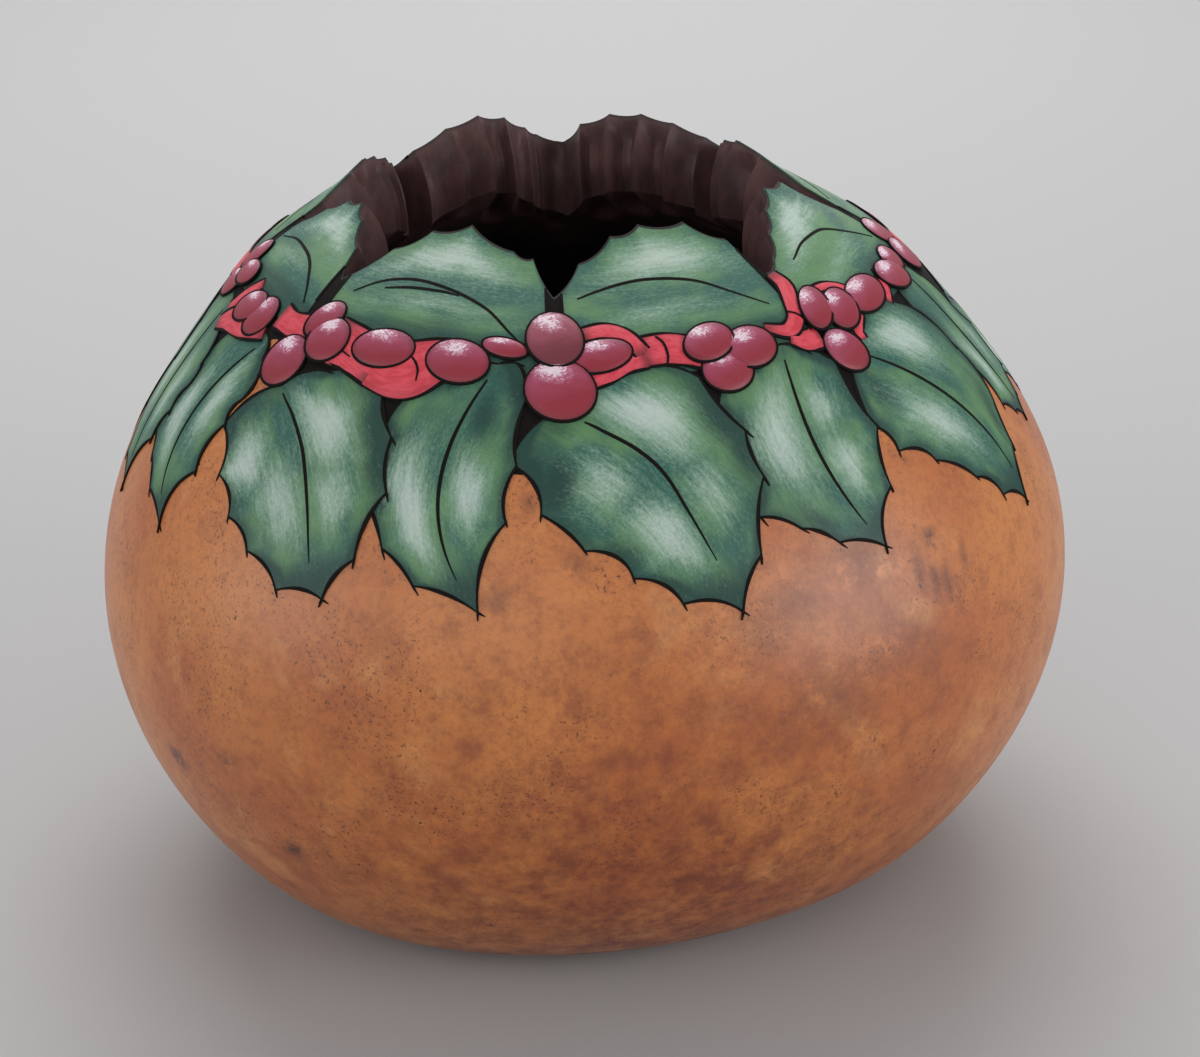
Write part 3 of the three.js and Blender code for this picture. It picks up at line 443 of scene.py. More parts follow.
def line(azimuth, tilt, width, height):
    """Adds one burnt line: a low band along the places, of that width and height above the skin."""
    azimuth, tilt = np.asarray(azimuth, float), np.asarray(tilt, float)
    width = np.broadcast_to(np.asarray(width, float), azimuth.shape)
    height = np.broadcast_to(np.asarray(height, float), azimuth.shape)
    here = skin(azimuth, tilt)
    out = normal(azimuth, tilt)
    side = unit(np.cross(out, unit(np.gradient(here, axis=0)))) * width[:, None] / 2
    corners = [here + side + out * height[:, None], here - side + out * height[:, None],
               here - side + out * SUNK, here + side + out * SUNK]
    points = np.stack(corners, 1)
    n = len(azimuth)
    quads = grid_quads(n, 4, closed=True)
    caps = np.array([[0, 1, 2, 3], [4 * n - 1, 4 * n - 2, 4 * n - 3, 4 * n - 4]])
    LINES.append((points.reshape(-1, 3), np.concatenate([quads, caps[:, ::-1]]), {}))


def linear(colour):
    """A colour as seen, from 0 to 255, turned into the shader's linear one. A socket stays as it is."""
    if not isinstance(colour, tuple):
        return colour
    seen = np.array(colour) / 255
    light = np.where(seen < 0.04045, seen / 12.92, ((seen + 0.055) / 1.055) ** 2.4)
    return (*light.tolist(), 1)


class Finish:
    """A finish in the making: a principled shader, the colour mixed so far, and a fine bump. Patterns read
    Object coordinates or the piece's own attributes."""

    def __init__(self, name, roughness, coat=0.0, bump=0.0, bump_scale=1500):
        self.material = bpy.data.materials.new(name)
        self.material.use_nodes = True
        self.tree = self.material.node_tree
        self.shader = self.tree.nodes["Principled BSDF"]
        for socket, amount in (("Roughness", roughness), ("Coat Weight", coat), ("Coat Roughness", 0.25)):
            self.shader.inputs[socket].default_value = amount
        self.place = self.node("TexCoord", {}).outputs["Object"]
        if bump:
            grain = self.noise(self.place, bump_scale, 4)
            raised = self.node("Bump", {"Strength": bump, "Distance": 0.0002, "Height": grain})
            self.drive("Normal", raised.outputs["Normal"])

    def node(self, kind, inputs, **settings):
        """A new node, with its inputs set to numbers or linked to sockets."""
        node = self.tree.nodes.new("ShaderNode" + kind)
        for key, setting in settings.items():
            setattr(node, key, setting)
        for key, given in inputs.items():
            if isinstance(given, bpy.types.NodeSocket):
                self.tree.links.new(given, node.inputs[key])
            else:
                node.inputs[key].default_value = given
        return node

    def drive(self, socket, given):
        self.tree.links.new(given, self.shader.inputs[socket])

    def read(self, name, output="Fac"):
        return self.node("Attribute", {}, attribute_name=name).outputs[output]

    def plus(self, a, b):
        return self.node("Math", {0: a, 1: b}, operation="ADD").outputs[0]

    def minus(self, a, b):
        return self.node("Math", {0: a, 1: b}, operation="SUBTRACT").outputs[0]

    def times(self, a, b):
        return self.node("Math", {0: a, 1: b}, operation="MULTIPLY").outputs[0]

    def between(self, given, low, high):
        """Rises smoothly from 0 at low to 1 at high."""
        inputs = {"Value": given, "From Min": low, "From Max": high}
        return self.node("MapRange", inputs, interpolation_type="SMOOTHSTEP").outputs["Result"]

    def noise(self, vector, scale, detail=3, roughness=0.55):
        inputs = {"Vector": vector, "Scale": scale, "Detail": detail, "Roughness": roughness}
        return self.node("TexNoise", inputs).outputs["Fac"]

    def stretched(self, vector, stretch):
        return self.node("VectorMath", {0: vector, 1: stretch}, operation="MULTIPLY").outputs["Vector"]

    def patches(self, scale, detail, roughness, low, high):
        """Clouds, specks or dots: a noise over the piece, cut off softly between low and high."""
        return self.between(self.noise(self.place, scale, detail, roughness), low, high)

    def strokes(self, stretch, detail=3, roughness=0.55):
        """A noise drawn out along the brush attribute, which holds the millimetres along and across."""
        return self.noise(self.stretched(self.read("brush", "Vector"), stretch), 1, detail, roughness)

    def mixed(self, share, first, second):
        """Two colours, or sockets of colours, mixed by a share."""
        inputs = {0: share, 6: linear(first), 7: linear(second)}
        return self.node("Mix", inputs, data_type="RGBA").outputs[2]

    def cover(self, share, colour, strength=1):
        """Lays a colour over the one mixed so far, by a share that strength weakens."""
        if strength != 1:
            share = self.times(share, strength)
        self.colour = self.mixed(share, self.colour, colour)

    def done(self):
        self.drive("Base Color", self.colour)
        return self.material


def skin_material():
    """Polished skin: clouds of two tans with paler ones over them, fine red-brown mottling, painted shade
    that darkens the skin in red-brown low down where the shade attribute says, partly the skin's own
    red-brown, purple-brown stains, and fine dark specks and larger dots in drifts. The cut wall is stained
    dark, turns black inside, and is darkest along the edge of the paint."""
    gourd = Finish("gourd_skin", 0.42, 0.12, 0.3, 1300)
    mottle = gourd.noise(gourd.place, 150, 9, 0.74)
    gourd.colour = gourd.mixed(gourd.patches(26, 5, 0.6, 0.36, 0.66), (192, 119, 60), (172, 96, 46))
    gourd.cover(gourd.between(mottle, 0.5, 0.66), (140, 72, 38), 0.42)
    gourd.cover(gourd.patches(48, 4, 0.6, 0.56, 0.72), (206, 142, 84), 0.6)
    # painted shade: the skin turns darker red-brown towards the bottom where the shade attribute says, partly
    # its own colour
    gourd.cover(gourd.times(gourd.read("shade"), gourd.between(mottle, 0.3, 0.66)), (106, 45, 30))
    gourd.cover(gourd.patches(620, 6, 0.8, 0.44, 0.64), (118, 64, 40), 0.34)
    gourd.cover(gourd.times(gourd.read("stain"), gourd.between(mottle, 0.38, 0.48)), (84, 42, 32))
    drift = gourd.patches(60, 2, 0.55, 0.38, 0.66)
    gourd.cover(gourd.times(drift, gourd.patches(1500, 2, 0.6, 0.59, 0.67)), (70, 36, 24), 0.75)
    gourd.cover(gourd.times(drift, gourd.patches(760, 3, 0.6, 0.65, 0.7)), (52, 24, 16), 0.9)
    cut = gourd.read("cut")
    grain = gourd.noise(gourd.stretched(gourd.place, (1, 1, 0.5)), 240, 5, 0.7)
    wood = gourd.mixed(gourd.between(grain, 0.25, 0.75), (58, 33, 33), (88, 56, 54))
    gourd.cover(cut, gourd.mixed(gourd.read("inside"), wood, (17, 11, 12)))
    gourd.cover(gourd.read("under"), (17, 22, 20))
    rough = gourd.plus(gourd.times(cut, 0.32), gourd.times(mottle, 0.22))
    gourd.drive("Roughness", gourd.plus(rough, 0.3))
    return gourd.done()


def leaf_material():
    """Green paint with teal shadow where the leaf's shade attribute says, and dry-brushed pale highlights:
    the glow attribute plus a long stroke noise and a fine grain noise, cut off softly."""
    leaf = Finish("leaf_paint", 0.5, 0.05, 0.35, 1600)
    leaf.shader.inputs["Specular IOR Level"].default_value = 0.35
    strokes = leaf.strokes((0.12, 0.9, 1), 3, 0.65)
    grain = leaf.strokes((1.1, 2.2, 1), 3, 0.8)
    patches = leaf.strokes((0.07, 0.11, 1), 2)
    dabs = leaf.plus(leaf.times(strokes, 0.9), leaf.times(grain, 1.1))
    leaf.colour = leaf.mixed(leaf.between(patches, 0.36, 0.64), (38, 86, 76), (84, 124, 80))
    leaf.cover(leaf.between(grain, 0.4, 0.75), (94, 134, 108), 0.35)
    shade = leaf.plus(leaf.read("shade"), leaf.times(strokes, 0.5))
    leaf.cover(leaf.between(shade, 0.35, 1.05), (18, 58, 50))
    glow = leaf.plus(leaf.read("glow"), leaf.times(dabs, 0.9))
    leaf.cover(leaf.between(glow, 0.95, 1.7), (118, 150, 128), 0.85)
    pale = leaf.mixed(patches, (178, 192, 192), (174, 190, 172))
    leaf.cover(leaf.between(glow, 1.35, 2.25), pale, 0.95)
    return leaf.done()


def berry_material():
    """Crimson paint, pinker towards the light, with a speckled white dab up at the left: a fine grain noise
    less the squared distance from the dab's middle. The tone attribute turns a berry maroon."""
    berry = Finish("berry_paint", 0.45, 0.1, 0.3, 1600)
    split = berry.node("SeparateXYZ", {0: berry.read("spot", "Vector")})
    x, y = split.outputs[0], split.outputs[1]
    grain = berry.strokes((1.6, 2.4, 1), 3, 0.7)
    strokes = berry.times(berry.strokes((0.35, 0.6, 1), 3, 0.6), 0.5)
    lit = berry.plus(berry.minus(berry.times(y, 0.85), berry.times(x, 0.3)), strokes)
    crimson = berry.mixed(berry.between(lit, -0.3, 0.95), (134, 24, 42), (152, 62, 90))
    maroon = berry.mixed(berry.between(lit, -0.3, 0.6), (104, 34, 46), (138, 62, 78))
    berry.colour = berry.mixed(berry.read("tone"), crimson, maroon)
    round_edge = berry.plus(berry.times(x, x), berry.times(y, y))
    berry.cover(berry.between(round_edge, 0.62, 1), (84, 14, 30), 0.45)
    aside, above = berry.plus(x, 0.2), berry.minus(y, 0.6)
    away = berry.plus(berry.times(berry.times(aside, aside), 0.5), berry.times(above, above))
    spark = berry.minus(berry.plus(grain, strokes), berry.times(away, 1.9))
    berry.cover(berry.between(spark, 0.3, 0.66), (190, 128, 152), 0.6)
    berry.cover(berry.between(spark, 0.56, 0.76), (222, 206, 214), 0.9)
    return berry.done()


def ribbon_material():
    """Two reds in strokes along the strip, darker at its ends and edges where the shade attribute says."""
    ribbon = Finish("ribbon_paint", 0.46, 0.1, 0.3, 1600)
    strokes = ribbon.strokes((0.2, 0.9, 1), 4, 0.65)
    ribbon.colour = ribbon.mixed(ribbon.between(strokes, 0.36, 0.62), (190, 44, 58), (214, 72, 88))
    streaks = ribbon.times(ribbon.between(strokes, 0.5, 0.7), 0.3)
    fold = ribbon.node("Math", {0: ribbon.read("shade"), 1: streaks}, operation="MAXIMUM").outputs[0]
    ribbon.cover(fold, (118, 24, 36))
    return ribbon.done()


def dark_material():
    """Scorched skin: nearly black, a little brown in places, dull."""
    scorched = Finish("burnt_line", 0.75, 0, 0.3, 2000)
    scorched.shader.inputs["Specular IOR Level"].default_value = 0.12
    scorched.colour = scorched.mixed(scorched.noise(scorched.place, 700), (5, 4, 4), (22, 15, 13))
    return scorched.done()


# The fine skin decides how far the CAD moved its finished group
probe_azimuths, probe_tilts = np.meshgrid(np.arange(0, 360, 1.0), np.arange(-50, 50, 1.0))
probe = skin(probe_azimuths, probe_tilts).reshape(-1, 3) * 0.001
low, high = (np.array(corner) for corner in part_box("gourd_shell"))
SHIFT = np.append(((low + high) / 2 - (probe.min(0) + probe.max(0)) / 2)[:2], 0)

camera_data = bpy.data.cameras.new("camera")
camera = bpy.data.objects.new("camera", camera_data)
bpy.context.scene.collection.objects.link(camera)
camera_data.lens = LENS
camera_data.sensor_width = SENSOR
elevation = math.radians(CAMERA_HEIGHT_ANGLE)
target = np.array(CAMERA_AIM) + SHIFT
camera.location = target + np.array([0, -math.cos(elevation), math.sin(elevation)]) * CAMERA_DISTANCE
camera.rotation_euler = (math.pi / 2 - elevation, 0, 0)
bpy.context.scene.camera = camera

PAINT = {
    "skin": skin_material(),
    "leaf": leaf_material(),
    "berry": berry_material(),
    "ribbon": ribbon_material(),
    "dark": dark_material(),
}


def build_skin():
    """The wall as one closed surface: rings run from the scar under the foot up the skin, over the cut face
    along the outward direction, and down the inside. Each stretch between two spines is a gouge: a parabola
    across that leans to one side and the other in turn. It deepens from the skin inwards, turns over the
    inner edge and runs out a little below it, so the spines stand as ridges. The whole face drops with the
    square of the way in."""
    steps = 8
    columns = np.concatenate([np.linspace(a, b, steps, endpoint=False)
                              for a, b in zip(KNOT_AZIMUTHS[:-1], KNOT_AZIMUTHS[1:])])
    edge = rim_tilt(columns)
    share = np.tile(np.arange(steps) / steps, len(KNOT_AZIMUTHS) - 1)
    rings, cut, inside = [], [], []

    def ring(points, is_cut=0.0, is_inside=0.0):
        rings.append(points)
        cut.append(np.full(len(columns), is_cut))
        inside.append(is_inside + np.zeros(len(columns)))

    foot = skin(columns, np.full(columns.shape, FOOT_TILT))
    for share_out in (0.0, 0.05, 0.1, 0.15, 0.2, 0.4, 0.7, 0.92):
        radius = share_out * FOOT_RADIUS
        sag = NAVEL_DEPTH * max(0, 1 - (radius / NAVEL_RADIUS) ** 2)
        ring(foot * [share_out, share_out, 0] + [0, 0, sag])
    lip = edge - math.degrees(LIP / RIM_REACH)
    for part in np.linspace(0, 1, 90):
        ring(skin(columns, FOOT_TILT + (lip - FOOT_TILT) * part))
    lip_ring = len(rings)
    ring(skin(columns, lip + 0.02), 1.0)
    ring(skin(columns, edge), 1.0)
    widths, rises = np.diff(KNOT_AZIMUTHS), np.abs(np.diff(KNOT_TILTS))
    number = np.arange(len(widths))
    depth = GOUGE * np.clip(widths / 9, 0.35, 1.0) * np.clip(1.15 - rises / widths, 0.15, 1.0)
    slant = np.where(np.repeat(number % 2, steps) == 0, share, 1 - share)
    gouge = np.repeat(depth, steps) * 4 * share * (1 - share) * (0.8 + 0.6 * slant)
    run_out = np.repeat(FLUTE_END + FLUTE_ENDS_VARY * np.sin(2.4 * number), steps)
    for part in np.linspace(0, 1, 18)[1:]:
        deeper = gouge * smooth(part, 0, 0.3) + INNER_DROP * part**2
        back = FLUTE_BACK * gouge * smooth(part, 0.5, 1) - wall(edge) * part
        ring(lifted(columns, edge - np.degrees(deeper / RIM_REACH), back), 1.0, 0.15 * smooth(part, 0.7, 1.0))
    for part in np.concatenate([np.linspace(0, 0.13, 26)[1:], np.linspace(0.13, 1, 22)[1:]]):
        drop = (edge - FOOT_TILT) * part
        deeper = np.degrees((gouge + INNER_DROP) / RIM_REACH) * (1 - smooth(part, 0, 0.3))
        back = FLUTE_BACK * gouge * (1 - smooth(drop, run_out - 4, run_out)) - wall(edge - drop)
        ring(lifted(columns, edge - drop - deeper, back), 1.0, 0.15 + 0.85 * smooth(drop, 7, 20))
    bottom = rings[-1]
    for share_out in (0.6, 0.2, 0.0):
        ring(np.stack([bottom[:, 0] * share_out, bottom[:, 1] * share_out, bottom[:, 2]], -1), 1.0, 1.0)
    count = len(columns)
    points = np.concatenate(rings)
    quads = grid_quads(len(rings), count, closed=True)
    first, last = 0, (len(rings) - 1) * count
    quads = np.where(quads < count, first, quads)
    quads = np.where(quads >= last, last, quads)
    used = np.concatenate([[0], np.arange(count, last), [last]])
    azimuth = np.tile(columns, len(rings))
    tilt = np.degrees(np.arctan2(points[:, 2] - BELLY_HEIGHT, np.hypot(points[:, 0], points[:, 1])))
    stain = np.zeros(len(points))
    for a, t, wide, tall, strength in STAINS:
        away = (np.mod(azimuth - a + 180, 360) - 180) / wide
        stain = np.maximum(stain, strength * np.exp(-(away**2) - ((tilt - t) / tall) ** 2))
    # painted shade, darker towards the bottom and strongest at the given sides, where the skin's own
    # red-brown also gathers
    shade_and_red_brown = sum(bump_at(np.mod(azimuth - a + 180, 360) - 180, 0, reach) for a, reach in SHADE_AND_RED_BROWN_SIDES)
    shade = smooth(-tilt, -34, 36) * (0.05 + 0.88 * shade_and_red_brown)
    cut, inside = np.concatenate(cut), np.concatenate(inside)
    under = np.zeros(len(points))
    under[lip_ring * count:(lip_ring + 2) * count] = 0.85
    attributes = {"cut": cut[used], "inside": inside[used], "stain": stain[used], "shade": shade[used],
                  "under": under[used]}
    make("skin", points[used], renumbered(quads, used, len(points)), attributes, PAINT["skin"],
         ["gourd_shell"], sharp=18)


def midrib(stations, share):
    """The parabola through the midrib's base, middle and tip."""
    base, middle, tip = np.array(stations, float)
    s = np.asarray(share, float)[..., None]
    return 2 * (s - 0.5) * (s - 1) * base + 4 * s * (1 - s) * middle + 2 * s * (s - 0.5) * tip


def on_leaf(stations, length, x, y):
    """From millimetres along the midrib and out to its right, to azimuth and tilt."""
    share = np.clip(x / length, 0, 1)
    here, ahead = midrib(stations, share), midrib(stations, share + 0.01)
    azimuth, tilt = here[..., 0], here[..., 1]
    place = skin(azimuth, tilt)
    east = (ahead[..., 0] - azimuth) * np.linalg.norm(skin(azimuth + 1, tilt) - place, axis=-1)
    north = (ahead[..., 1] - tilt) * np.linalg.norm(skin(azimuth, tilt + 1) - place, axis=-1)
    size = np.hypot(east, north)
    over = x - share * length
    return shifted(azimuth, tilt, (over * east - y * north) / size, (over * north + y * east) / size)


MARGIN_STEPS = 10


def margin(side, length, hand):
    """A leaf's margin: between two spines the chord, moved inwards by a parabola, or outwards on the round
    stretches."""
    round_count, spines = side
    knots = np.array([(0, 0), *spines, (length, 0)], float)
    start, end = knots[:-1, None], knots[1:, None]
    share = np.linspace(0, 1, MARGIN_STEPS, endpoint=False)[None, :, None]
    chord = np.linalg.norm(end - start, axis=-1, keepdims=True)
    scallop = np.where(chord > LONG_STRETCH, STRAIGHT_HOLLOW, SCALLOP_SHARE * chord)
    depth = np.where(np.arange(len(start))[:, None, None] < round_count, -ROUND_SHARE * chord, scallop)
    inward = np.stack([(end - start)[..., 1], -(end - start)[..., 0]], -1) / chord
    points = start + (end - start) * share + inward * 4 * depth * share * (1 - share)
    points = np.concatenate([points.reshape(-1, 2), knots[-1:]])
    return points * [1, hand]


def leaf_layout(like, at, hand):
    """A leaf's midrib stations, its length in millimetres and its two margins in leaf coordinates."""
    stations, left, right = DRAWN[like]
    stations = np.array(stations, float)
    if at is not None:
        stations = np.stack([at + hand * (stations[:, 0] - stations[1, 0]), stations[:, 1]], -1)
    if hand < 0:
        left, right = right, left
    length = np.linalg.norm(np.diff(skin(*midrib(stations, np.linspace(0, 1, 13)).T), axis=0), axis=1).sum()
    return stations, length, margin(left, length, -1), margin(right, length, 1)


LAYOUTS = [leaf_layout(*leaf) for leaf in LOWER_LEAVES]


def bump_at(value_at, centre, reach):
    """A bell: 1 at the centre, falling as the exponential of the squared distance in reaches."""
    return np.exp(-(((value_at - centre) / reach) ** 2))


def leaf_attributes(glow, shade, brush):
    return {"glow": twice(glow.ravel()), "shade": twice(shade.ravel()), "brush": twice(brush.reshape(-1, 3))}


def build_lower_leaf(number):
    """A leaf's grid runs down its midrib and out to both margins in straight shares. Its glow and dusk are
    bells on each half, and its shade gathers at the margins, the base and the tip, and where the leaf before
    lies over it: there it falls off exponentially with the distance to that leaf's margin. A burnt line
    follows each stretch of the margin and runs on past its spine, and another follows the midrib."""
    stations, length, left_edge, right_edge = LAYOUTS[number]
    rows = len(left_edge)
    middle = np.stack([np.linspace(0, length, rows), np.zeros(rows)], -1)
    across = np.linspace(-1, 1, 33)
    weight = np.abs(across)[None, :, None]
    edge = np.where(across[None, :, None] < 0, left_edge[:, None], right_edge[:, None])
    place = middle[:, None] * (1 - weight) + edge * weight
    azimuth, tilt = on_leaf(stations, length, place[..., 0], place[..., 1])
    lift = LEAF_LOW + (LEAF_HIGH - LEAF_LOW) * (across + 1) / 2 + np.zeros(azimuth.shape)
    points, quads = sheet_solid(azimuth, tilt, lift)
    along = place[..., 0] / length
    side = across + np.zeros(azimuth.shape)
    high_left, high_right = LEAF_GLOWS[LOWER_LEAVES[number][0]]
    glow, dusk = np.zeros(azimuth.shape), np.zeros(azimuth.shape)
    for centre, reach, out_to, strength in (*high_left, *high_right):
        bell = strength * bump_at(along, centre, reach) * bump_at(side, out_to, 0.3)
        glow, dusk = np.maximum(glow, bell), np.maximum(dusk, -bell)
    stations_over, length_over, _, over_edge = LAYOUTS[number - 1]
    over = skin(*on_leaf(stations_over, length_over, over_edge[:, 0], over_edge[:, 1]))
    away = np.linalg.norm(skin(azimuth, tilt)[:, :, None] - over, axis=-1).min(-1)
    glow = glow * (1 - smooth(along, 0.72, 0.95))
    shade = 0.65 * smooth(np.abs(side), 0.7, 1) + 0.5 * smooth(-along, -0.18, 0)
    shade = shade + 0.9 * smooth(along, 0.72, 1)
    shade = np.maximum(np.maximum(shade, dusk), 1.05 * np.exp(-away / 2.8))
    brush = np.stack([place[..., 0], place[..., 1], np.full(azimuth.shape, 7.3 * number)], -1)
    make(f"leaf_{number + 1}", points, quads, leaf_attributes(glow, shade, brush), PAINT["leaf"],
         [f"lower_leaf_{number + 1}"], "leaf_paint")
    for points_of_edge, high in ((left_edge, LEAF_LOW), (right_edge, LEAF_HIGH)):
        for i in range(0, rows - 1, MARGIN_STEPS):
            stretch = points_of_edge[i:i + MARGIN_STEPS + 1].copy()
            overshoot = unit(stretch[-1] - stretch[-2]) * np.linspace(0.5, 1.6, 3)[:, None]
            stretch = np.concatenate([stretch, stretch[-1] + overshoot])
            a, t = on_leaf(stations, length, stretch[:, 0], stretch[:, 1])
            width = 0.58 - 0.17 * np.cos(np.linspace(0, 2 * np.pi, len(a) - 3))
            width = width + 0.08 * np.sin(np.linspace(0, 7, len(a) - 3) + 1.7 * number + i)
            line(a, t, np.concatenate([width, [0.42, 0.3, 0.15]]), high + LINE_LIFT)
    like, at, hand = LOWER_LEAVES[number]
    a, t = midrib(stations, np.linspace(0.07, 0.88, 40)).T
    if like in LEAF_RIBS:
        a, t = curve(LEAF_RIBS[like], 8).T
        a = a if at is None else at + hand * (a - DRAWN[like][0][1][0])
    width = 0.15 + 0.6 * np.sin(np.pi * np.linspace(0.08, 1, len(a))) ** 0.8
    line(a, t, width, (LEAF_LOW + LEAF_HIGH) / 2 + LINE_LIFT)


def build_upper_leaf(number):
    """A leaf between two notches: its grid runs along the azimuth, and from just under the carved edge down
    to the ribbon. It glows in two bands, above and below its midrib."""
    start = UPPER_LEAVES[number][0]
    end = UPPER_LEAVES[number + 1][0] if number + 1 < len(UPPER_LEAVES) else UPPER_LEAVES[0][0] + 360
    inner = KNOT_AZIMUTHS[(KNOT_AZIMUTHS > start) & (KNOT_AZIMUTHS < end)]
    stops = np.concatenate([[start + NOTCH_MARGIN], inner, [end - NOTCH_MARGIN]])
    stretches = [np.linspace(a, b, 8, endpoint=False) for a, b in zip(stops[:-1], stops[1:])]
    across = np.concatenate([*stretches, stops[-1:]])
    top = rim_tilt(across) - math.degrees(RIM_MARGIN / RIM_REACH)
    down = np.linspace(0, 1, 24)[:, None]
    tilt = top * (1 - down) + CROWN_FOOT * down
    azimuth = np.broadcast_to(across, tilt.shape)
    sink = UPPER_LEAF_SINK * smooth(-tilt, -UPPER_LEAF_FOOT, -CROWN_FOOT)
    points, quads = sheet_solid(azimuth, tilt, UPPER_LEAF - sink)
    along = (azimuth - start) / (end - start)
    lean_to = 0.5 - 0.3 * (number % 2)
    glow = 1.15 * bump_at(along, 0.45 + 0.2 * lean_to, 0.32) * bump_at(down, 0.2, 0.15)
    glow = np.maximum(glow, 0.55 * bump_at(along, 0.55 - 0.3 * lean_to, 0.34) * bump_at(down, 0.58, 0.09))
    shade = 0.6 * smooth(down, 0.62, 0.8) + 0.35 * smooth(-down, -0.08, 0)
    shade = shade + 0.5 * smooth(np.abs(along * 2 - 1), 0.78, 1)
    brush = np.stack([azimuth * 0.8, tilt * 1.5, np.full(tilt.shape, 200 + 7.3 * number)], -1)
    make(f"crown_leaf_{number + 1}", points, quads, leaf_attributes(glow, shade, brush), PAINT["leaf"],
         [f"upper_leaf_{number + 1}"], "leaf_paint")
    for a in (across[0], across[-1]):
        side_tilts = np.linspace(rim_tilt(a) - 0.4, UPPER_LEAF_FOOT, 14)
        line(np.full(14, a), side_tilts, 0.5, UPPER_LEAF + LINE_LIFT)


def build_wedge(number):
    """The black paint below a notch: a grid along the azimuth, and from just under the carved edge down to
    the ribbon."""
    down = np.linspace(0, 1, 12)[:, None]
    azimuth = UPPER_LEAVES[number][0] + np.linspace(-WEDGE_HALF, WEDGE_HALF, 17) + np.zeros((12, 1))
    tilt = (rim_tilt(azimuth) - 0.4) * (1 - down) + WEDGE_FOOT * down
    points, quads = sheet_solid(azimuth, tilt, np.full(tilt.shape, WEDGE))
    make(f"notch_paint_{number + 1}", points, quads, {}, PAINT["dark"])


def build_ground():
    """The black paint that shows between the leaves: a belt round the shoulder whose lower edge rises in a
    bell where the skin stays bare."""
    azimuth = np.linspace(-180, 180, 361) + np.zeros((10, 1))
    down = np.linspace(0, 1, 10)[:, None]
    lower_edge = UNDERPAINT[0] + BARE_RISE * bump_at(azimuth, BARE_AT, BARE_REACH)
    tilt = UNDERPAINT[1] * (1 - down) + lower_edge * down
    points, quads = sheet_solid(azimuth, tilt, np.full(tilt.shape, GROUND))
    make("ground_paint", points, quads, {}, PAINT["dark"])


def build_berries(name, group_place, berries):
    """Each berry is a low dome over an ellipse: the height falls from the middle by the crown times one less
    the square root of one less the radius squared. A burnt line runs round it."""
    sides, rings = 32, 8
    domes = []
    turn = np.arange(sides) * 2 * np.pi / sides
    radius = np.linspace(0, 1, rings)[:, None]
    for order, (group_east, group_north, long, short, angle) in enumerate(berries):
        azimuth, tilt = shifted(*group_place, group_east, group_north)
        base = BERRY + BERRY_STEP * (len(berries) - 1 - order)
        x, y = radius * np.cos(turn), radius * np.sin(turn)
        c, s = math.cos(math.radians(angle)), math.sin(math.radians(angle))
        east, north = x * long * c - y * short * s, x * long * s + y * short * c
        a, t = shifted(azimuth, tilt, east, north)
        lift = base + BERRY_CROWN * np.sqrt(np.clip(1 - radius**2, 0, 1)) + np.zeros(a.shape)
        top, under = lifted(a, t, lift), lifted(a[-1:], t[-1:], np.full((1, sides), SUNK))
        middle = lifted(azimuth, tilt, SUNK)
        points = np.concatenate([top.reshape(-1, 3), under.reshape(-1, 3), middle.reshape(1, 3)])
        quads = grid_quads(rings + 1, sides, closed=True)
        quads = np.where(quads < sides, 0, quads)
        floor_ring = rings * sides + np.arange(sides)
        last = np.full(sides, len(points) - 1)
        fan = np.stack([floor_ring, np.roll(floor_ring, -1), last, last], -1)
        quads = np.concatenate([quads[:, ::-1], fan[:, ::-1]])
        used = np.concatenate([[0], np.arange(sides, len(points))])
        reach_east, reach_north = math.hypot(long * c, short * s), math.hypot(long * s, short * c)
        spot = np.stack([east / reach_east, north / reach_north, np.zeros(a.shape)], -1).reshape(-1, 3)
        brush = np.stack([east, north, np.full(a.shape, 31.7 * azimuth + order)], -1).reshape(-1, 3)
        pad = np.zeros((sides + 1, 3))
        attributes = {
            "spot": np.concatenate([spot, pad])[used],
            "brush": np.concatenate([brush, pad])[used],
            "tone": np.full(len(used), 1.0 if (name, order) == DARK_BERRY else 0.0),
        }
        domes.append((points[used], renumbered(quads, used, len(points)), attributes))
        around = np.append(turn, turn[0])
        rim_x, rim_y = np.cos(around) * (long + 0.15), np.sin(around) * (short + 0.15)
        a, t = shifted(azimuth, tilt, rim_x * c - rim_y * s, rim_x * s + rim_y * c)
        line(a, t, 0.38 - 0.16 * np.sin(around + math.radians(angle)), base + 0.1)
    make(f"painted_{name}", *joined(domes), PAINT["berry"], [name], "berry_paint")


def build_ribbon(name, strips, replaced):
    """Each strip is a band along its curve, a little higher in its middle line: one less the square of the
    share across. Its shade is a bell at each end and a rise towards both edges, and a burnt line runs along
    each edge."""
    bands = []
    for order, strip in enumerate(strips):
        path = curve(strip, 8)
        (azimuth, tilt), across = band_places(path)
        base = RIBBON - RIBBON_STEP * order
        lift = base + RIBBON_CROWN * (1 - across**2) + np.zeros(azimuth.shape)
        points, quads = sheet_solid(azimuth, tilt, lift)
        share = np.linspace(0, 1, len(path))[:, None]
        shade = 0.9 * bump_at(share, 0, 0.1) + 0.9 * bump_at(share, 1, 0.1)
        shade = shade + 0.45 * smooth(np.abs(across), 0.5, 1)
        brush = np.stack([share * len(path) + 0 * azimuth, across * path[:, 2:3],
                          np.full(azimuth.shape, 13.1 * strip[0][0])], -1)
        attributes = {"shade": twice(np.clip(shade, 0, 1).ravel()), "brush": twice(brush.reshape(-1, 3))}
        bands.append((points, quads, attributes))
        for column in (0, -1):
            width = 0.5 + 0.18 * np.sin(np.linspace(0, 3 * np.pi, len(path)))
            line(azimuth[:, column], tilt[:, column], width, base + LINE_LIFT)
    make(f"painted_{name}", *joined(bands), PAINT["ribbon"], replaced, "ribbon_paint")


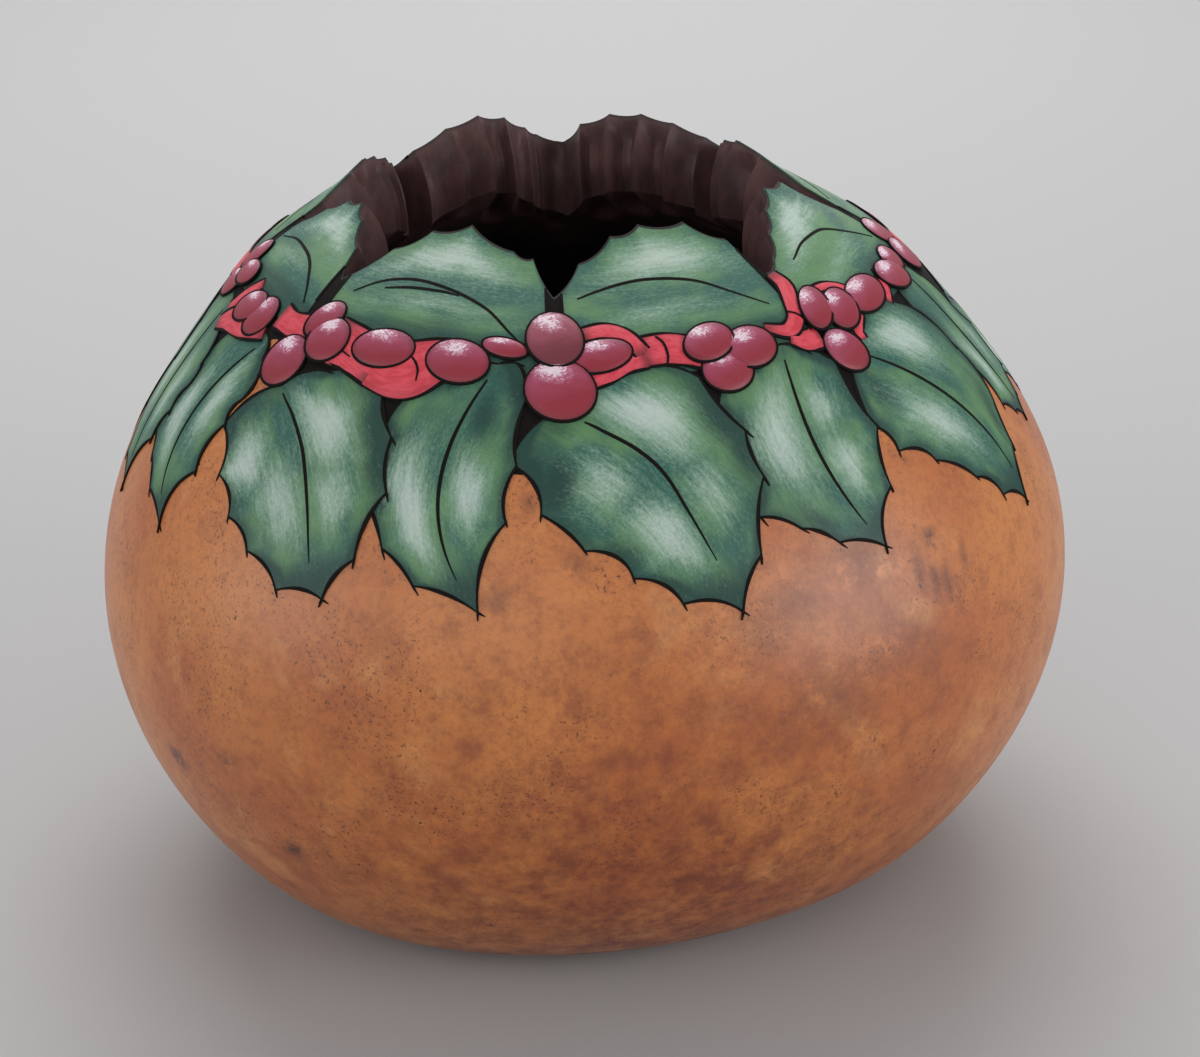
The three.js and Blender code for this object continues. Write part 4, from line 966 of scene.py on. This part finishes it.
build_skin()
build_ground()
for number in range(len(LOWER_LEAVES)):
    build_lower_leaf(number)
for number in range(len(UPPER_LEAVES)):
    build_upper_leaf(number)
    build_wedge(number)
for name, strips in RIBBONS.items():
    build_ribbon(name, strips, [name])
build_ribbon("ribbon_ends", SMALL_RIBBONS, [])
for name, (group_place, berries) in BERRIES.items():
    build_berries(name, group_place, berries)
for drawn_lines, swell, height in ((FOLDS, 0.3, RIBBON + 0.2), (UPPER_RIBS, 0.5, UPPER_LEAF + LINE_LIFT)):
    for drawn_line in drawn_lines:
        path = curve(drawn_line, 6)
        width = 0.2 + swell * np.sin(np.pi * np.linspace(0.1, 0.95, len(path)))
        line(path[:, 0], path[:, 1], width, height)
make("burnt_lines", *joined(LINES), PAINT["dark"])

# Floor, light and view
floor_mesh = bpy.data.meshes.new("floor")
floor_mesh.from_pydata([(-4, -4, 0), (4, -4, 0), (4, 4, 0), (-4, 4, 0)], [], [(0, 1, 2, 3)])
plain = Finish("floor", 0.8)
plain.shader.inputs["Base Color"].default_value = linear((169, 168, 168))
floor_mesh.materials.append(plain.material)
floor = bpy.data.objects.new("floor", floor_mesh)
bpy.context.scene.collection.objects.link(floor)

# Each lamp's place and size in metres, and its power in watts
LIGHTS = [
    ("ceiling", (-0.1, 0.8, 1.2), 1.3, 15),
    ("back", (0.1, 1.5, 0.8), 1.0, 5),
    ("window", (-0.3, -1.1, 0.6), 0.9, 2.4),
    ("left", (-1.0, -0.5, 0.3), 0.8, 3.8),
    ("side", (1.0, -0.55, 0.35), 0.7, 6.5),
]
for name, place, size, power in LIGHTS:
    data = bpy.data.lights.new(name, "AREA")
    data.size = size
    data.energy = power
    lamp = bpy.data.objects.new(name, data)
    bpy.context.scene.collection.objects.link(lamp)
    lamp.location = place
    away = np.array(place) - np.array([0, 0, 0.08])
    tipped = math.atan2(math.hypot(away[0], away[1]), away[2])
    lamp.rotation_euler = (tipped, 0, math.atan2(away[0], -away[1]))

world = bpy.data.worlds.new("world")
world.use_nodes = True
world.node_tree.nodes["Background"].inputs["Color"].default_value = linear((205, 205, 208))
world.node_tree.nodes["Background"].inputs["Strength"].default_value = 0.75
bpy.context.scene.world = world
bpy.context.scene.view_settings.view_transform = "Standard"
